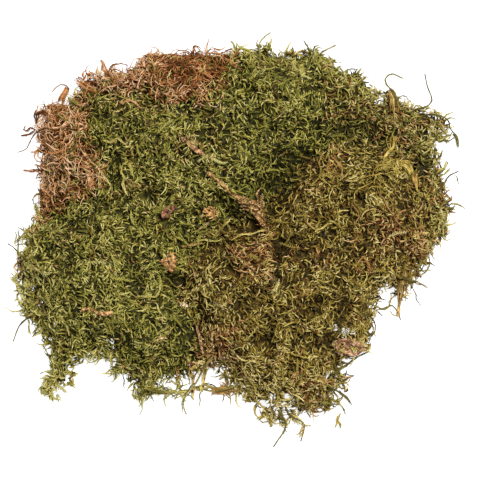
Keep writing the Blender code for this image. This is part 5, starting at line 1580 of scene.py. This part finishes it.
class MOSS_OT_strays(bpy.types.Operator):
    """Grow the stray stems that trail from the edges"""
    bl_idname = "moss.strays"
    bl_label = "Stray stems"

    def execute(self, context):
        shop = Nursery.get(context.scene)
        material = plant_material("dry_stray_stem", STEM, DEAD)
        for n, (node, tint) in enumerate(STRAY_TINTS.items()):
            line, widths = spine_stem(node)
            kind = "scaly" if max(widths) > WIRE_MOST else "wiry"
            piece = grow_stems(shop, node + "_leafy", [(line, widths, tint)], material, n, kind)
            dress(piece, "stray_stem", node)
        return {"FINISHED"}


class MOSS_OT_laid_stems(bpy.types.Operator):
    """Lay the single stems and fibres on top of the mats and over their edges"""
    bl_idname = "moss.laid_stems"
    bl_label = "Stems on top"

    def execute(self, context):
        shop = Nursery.get(context.scene)
        for node in LAID_STEMS:
            slot, material, kind = top_looks(node)
            stems = laid_lines(shop.ground, node)
            dress(grow_stems(shop, node + "_stems_on_top", stems, material, LAID_SEED, kind), slot, node)
            sheaves = sheaf_lines(shop.ground, node)
            if sheaves:
                dress(grow_stems(shop, node + "_sheaves", sheaves, material, SHEAF_SEED, "bare"), slot, node)
        return {"FINISHED"}


# --- Litter ---

# Material slot, colours from dark to light, the fibres' direction in degrees, fibre width in
# millimetres, stretch along the fibres, relief in millimetres
LITTER = {
    "bark_flake": ("bark", ("#44290f", "#82582e", "#ae7f4c", "#d4b086"), 0, 0.5, 7, 0.3),
    "bark_strip": ("bark", ("#4a3420", "#84603e", "#ae8458", "#d2ac80"), -38, 0.4, 6, 0.25),
    "pale_chip": ("bark", ("#8a6e52", "#b89c7c", "#d8c4a8", "#eee2cc"), -30, 0.4, 5, 0.2),
    "dead_stem": ("woody_stem", ("#38260f", "#745229", "#a67c48", "#d2b07e"), -45, 0.4, 4, 0.3),
    "pale_twig": ("woody_stem", ("#5a3a20", "#94693e", "#ba8f5d", "#dab888"), 5, 0.4, 5, 0.25),
    "splinter_low": ("woody_stem", ("#3e2818", "#70502f", "#a27a56", "#cca880"), -78, 0.35, 6, 0.2),
    "splinter_small": ("woody_stem", ("#664a2e", "#927048", "#b6966a", "#dac29a"), 15, 0.35, 6, 0.2),
    "purple_leaf_scrap": ("dry_leaf", ("#301a10", "#5c3626", "#80503a", "#a0785a"), 50, 0.5, 5, 0.25),
    "straw_leaf_scrap": ("dry_leaf", ("#523416", "#8e622e", "#b88c52", "#d8b580"), -55, 0.45, 5, 0.25),
    "pink_leaf": ("dry_leaf", ("#3a2012", "#6c472d", "#9e7656", "#ccae98"), -12, 0.5, 4, 0.25),
}
LITTER_CUTS = 2
LITTER_SMOOTH = 0.4
# How far its ragged edges and its curls move, and their size in millimetres
LITTER_RAGS, LITTER_CURLS = (0.5 * MM, 1.2), (0.9 * MM, 4.5)
STIFF_SHARE = 0.4  # bark moves this much of that
LITTER_SEED = 5  # noise vectors differ from run to run without one


def roughened_copy(node):
    """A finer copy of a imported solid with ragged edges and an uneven, curled surface."""
    work = bmesh.new()
    work.from_mesh(frame["nodes"][node].data)
    bmesh.ops.remove_doubles(work, verts=work.verts, dist=WELD)
    bmesh.ops.subdivide_edges(work, edges=work.edges, cuts=LITTER_CUTS, use_grid_fill=True,
                               smooth=LITTER_SMOOTH)
    share = STIFF_SHARE if LITTER[node][0] == "bark" else 1.0
    noise.seed_set(LITTER_SEED)
    for v in work.verts:
        place = v.co / MM
        for reach, size in (LITTER_RAGS, LITTER_CURLS):
            v.co += noise.noise_vector(place / size) * reach * share
    mesh = bpy.data.meshes.new(node + "_detailed")
    work.to_mesh(mesh)
    work.free()
    mesh.shade_smooth()
    return linked(mesh.name, mesh)


def litter_material(node):
    _, colours, turn, grain, stretch, relief = LITTER[node]
    return (bpy.data.materials.get(f"dry_{node}")
            or grained_material(f"dry_{node}", colours, turn, grain * MM, stretch, relief * MM))


class MOSS_OT_litter(bpy.types.Operator):
    """Finish the bits of bark, wood and leaf caught in the moss"""
    bl_idname = "moss.litter"
    bl_label = "Litter"

    def execute(self, context):
        shop = Nursery.get(context.scene)
        for n, node in enumerate(LITTER):
            if node in FIBRES_ONLY:
                continue
            if node in TWIGS:
                stem = (*spine_stem(node), 0.0)
                piece = grow_stems(shop, node + "_detailed", [stem], litter_material(node), n, "woody")
            else:
                piece = roughened_copy(node)
                piece.data.materials.append(litter_material(node))
            dress(piece, LITTER[node][0], node)
        return {"FINISHED"}


# --- Stage ---

VIEW_MIDDLE = (3.6 * MM, -0.2 * MM)  # the plan place in the middle of the picture
RIM_HEIGHT = 8 * MM  # where the picture's width is measured
FLOOR_HALF = 3.0
FLOOR_CORNERS = [(-FLOOR_HALF, -FLOOR_HALF, 0), (FLOOR_HALF, -FLOOR_HALF, 0), (FLOOR_HALF, FLOOR_HALF, 0),
                 (-FLOOR_HALF, FLOOR_HALF, 0)]
KEY_PLACE, KEY_SIZE = (1.75, 2.05, 6.9), 2.4
WHITE = (1.0, 1.0, 1.0, 1.0)
SENSOR_WIDTH = 36.0
SIGHT = 20.0  # how far the camera sees


def area_light(name, place, size, power):
    data = bpy.data.lights.new(name, "AREA")
    data.shape = "DISK"
    data.size = size
    data.energy = power
    light = linked(name, data)
    light.location = place
    light.rotation_euler = (-Vector(place)).to_track_quat("-Z", "Y").to_euler()


class MOSS_OT_stage(bpy.types.Operator):
    """Lay the pale floor and set the lights and the camera, which looks straight down"""
    bl_idname = "moss.stage"
    bl_label = "Stage"

    def execute(self, context):
        scene = context.scene
        stage = scene.moss_stage
        floor = mesh_object("floor", FLOOR_CORNERS, [(0, 1, 2, 3)])
        paper, _, shader = dry_material("white_paper", roughness=0.9, shine=0.5)
        shader.inputs["Base Color"].default_value = (*stage.floor_colour, 1.0)
        shader.inputs["Emission Color"].default_value = WHITE
        shader.inputs["Emission Strength"].default_value = stage.floor_glow
        floor.data.materials.append(paper)
        world = bpy.data.worlds.new("studio")
        world.use_nodes = True
        background = world.node_tree.nodes["Background"]
        background.inputs["Color"].default_value = WHITE
        background.inputs["Strength"].default_value = stage.sky_strength
        scene.world = world
        area_light("key", KEY_PLACE, KEY_SIZE, stage.key_power)
        camera = bpy.data.cameras.new("camera")
        camera.sensor_width = SENSOR_WIDTH
        camera.lens = SENSOR_WIDTH * (stage.camera_height - RIM_HEIGHT) / stage.frame_width
        camera.clip_end = SIGHT
        view = linked("camera", camera)
        view.location = (*VIEW_MIDDLE, stage.camera_height)
        scene.camera = view
        scene.view_settings.view_transform = "Standard"
        return {"FINISHED"}


class MOSS_PT_panel(bpy.types.Panel):
    """The clump's settings and steps"""
    bl_idname = "MOSS_PT_panel"
    bl_label = "Moss clump"
    bl_space_type = "VIEW_3D"
    bl_region_type = "UI"
    bl_category = "Moss"

    def draw(self, context):
        for key in SETTINGS:
            group = getattr(context.scene, key)
            box = self.layout.box()
            for name in group.__annotations__:
                box.prop(group, name)
        for step in STEPS:
            self.layout.operator(step.bl_idname)


SETTINGS = {"moss_shoots": MossShoots, "moss_density": MossDensity, "moss_stage": MossStage}
STEPS = (MOSS_OT_stage, MOSS_OT_green_mat, MOSS_OT_olive_mat, MOSS_OT_under_mat, MOSS_OT_brown_tufts,
         MOSS_OT_laid_stems, MOSS_OT_strays, MOSS_OT_litter)
CLASSES = (*SETTINGS.values(), *STEPS, MOSS_PT_panel)


def register():
    for cls in CLASSES:
        bpy.utils.register_class(cls)
    for name, group in SETTINGS.items():
        setattr(bpy.types.Scene, name, PointerProperty(type=group))


def unregister():
    for name in SETTINGS:
        delattr(bpy.types.Scene, name)
    for cls in reversed(CLASSES):
        bpy.utils.unregister_class(cls)


def main():
    register()
    for step in STEPS:
        family, name = step.bl_idname.split(".")
        getattr(getattr(bpy.ops, family), name)()
    Nursery.made.clear()


if __name__ == "__main__":
    main()
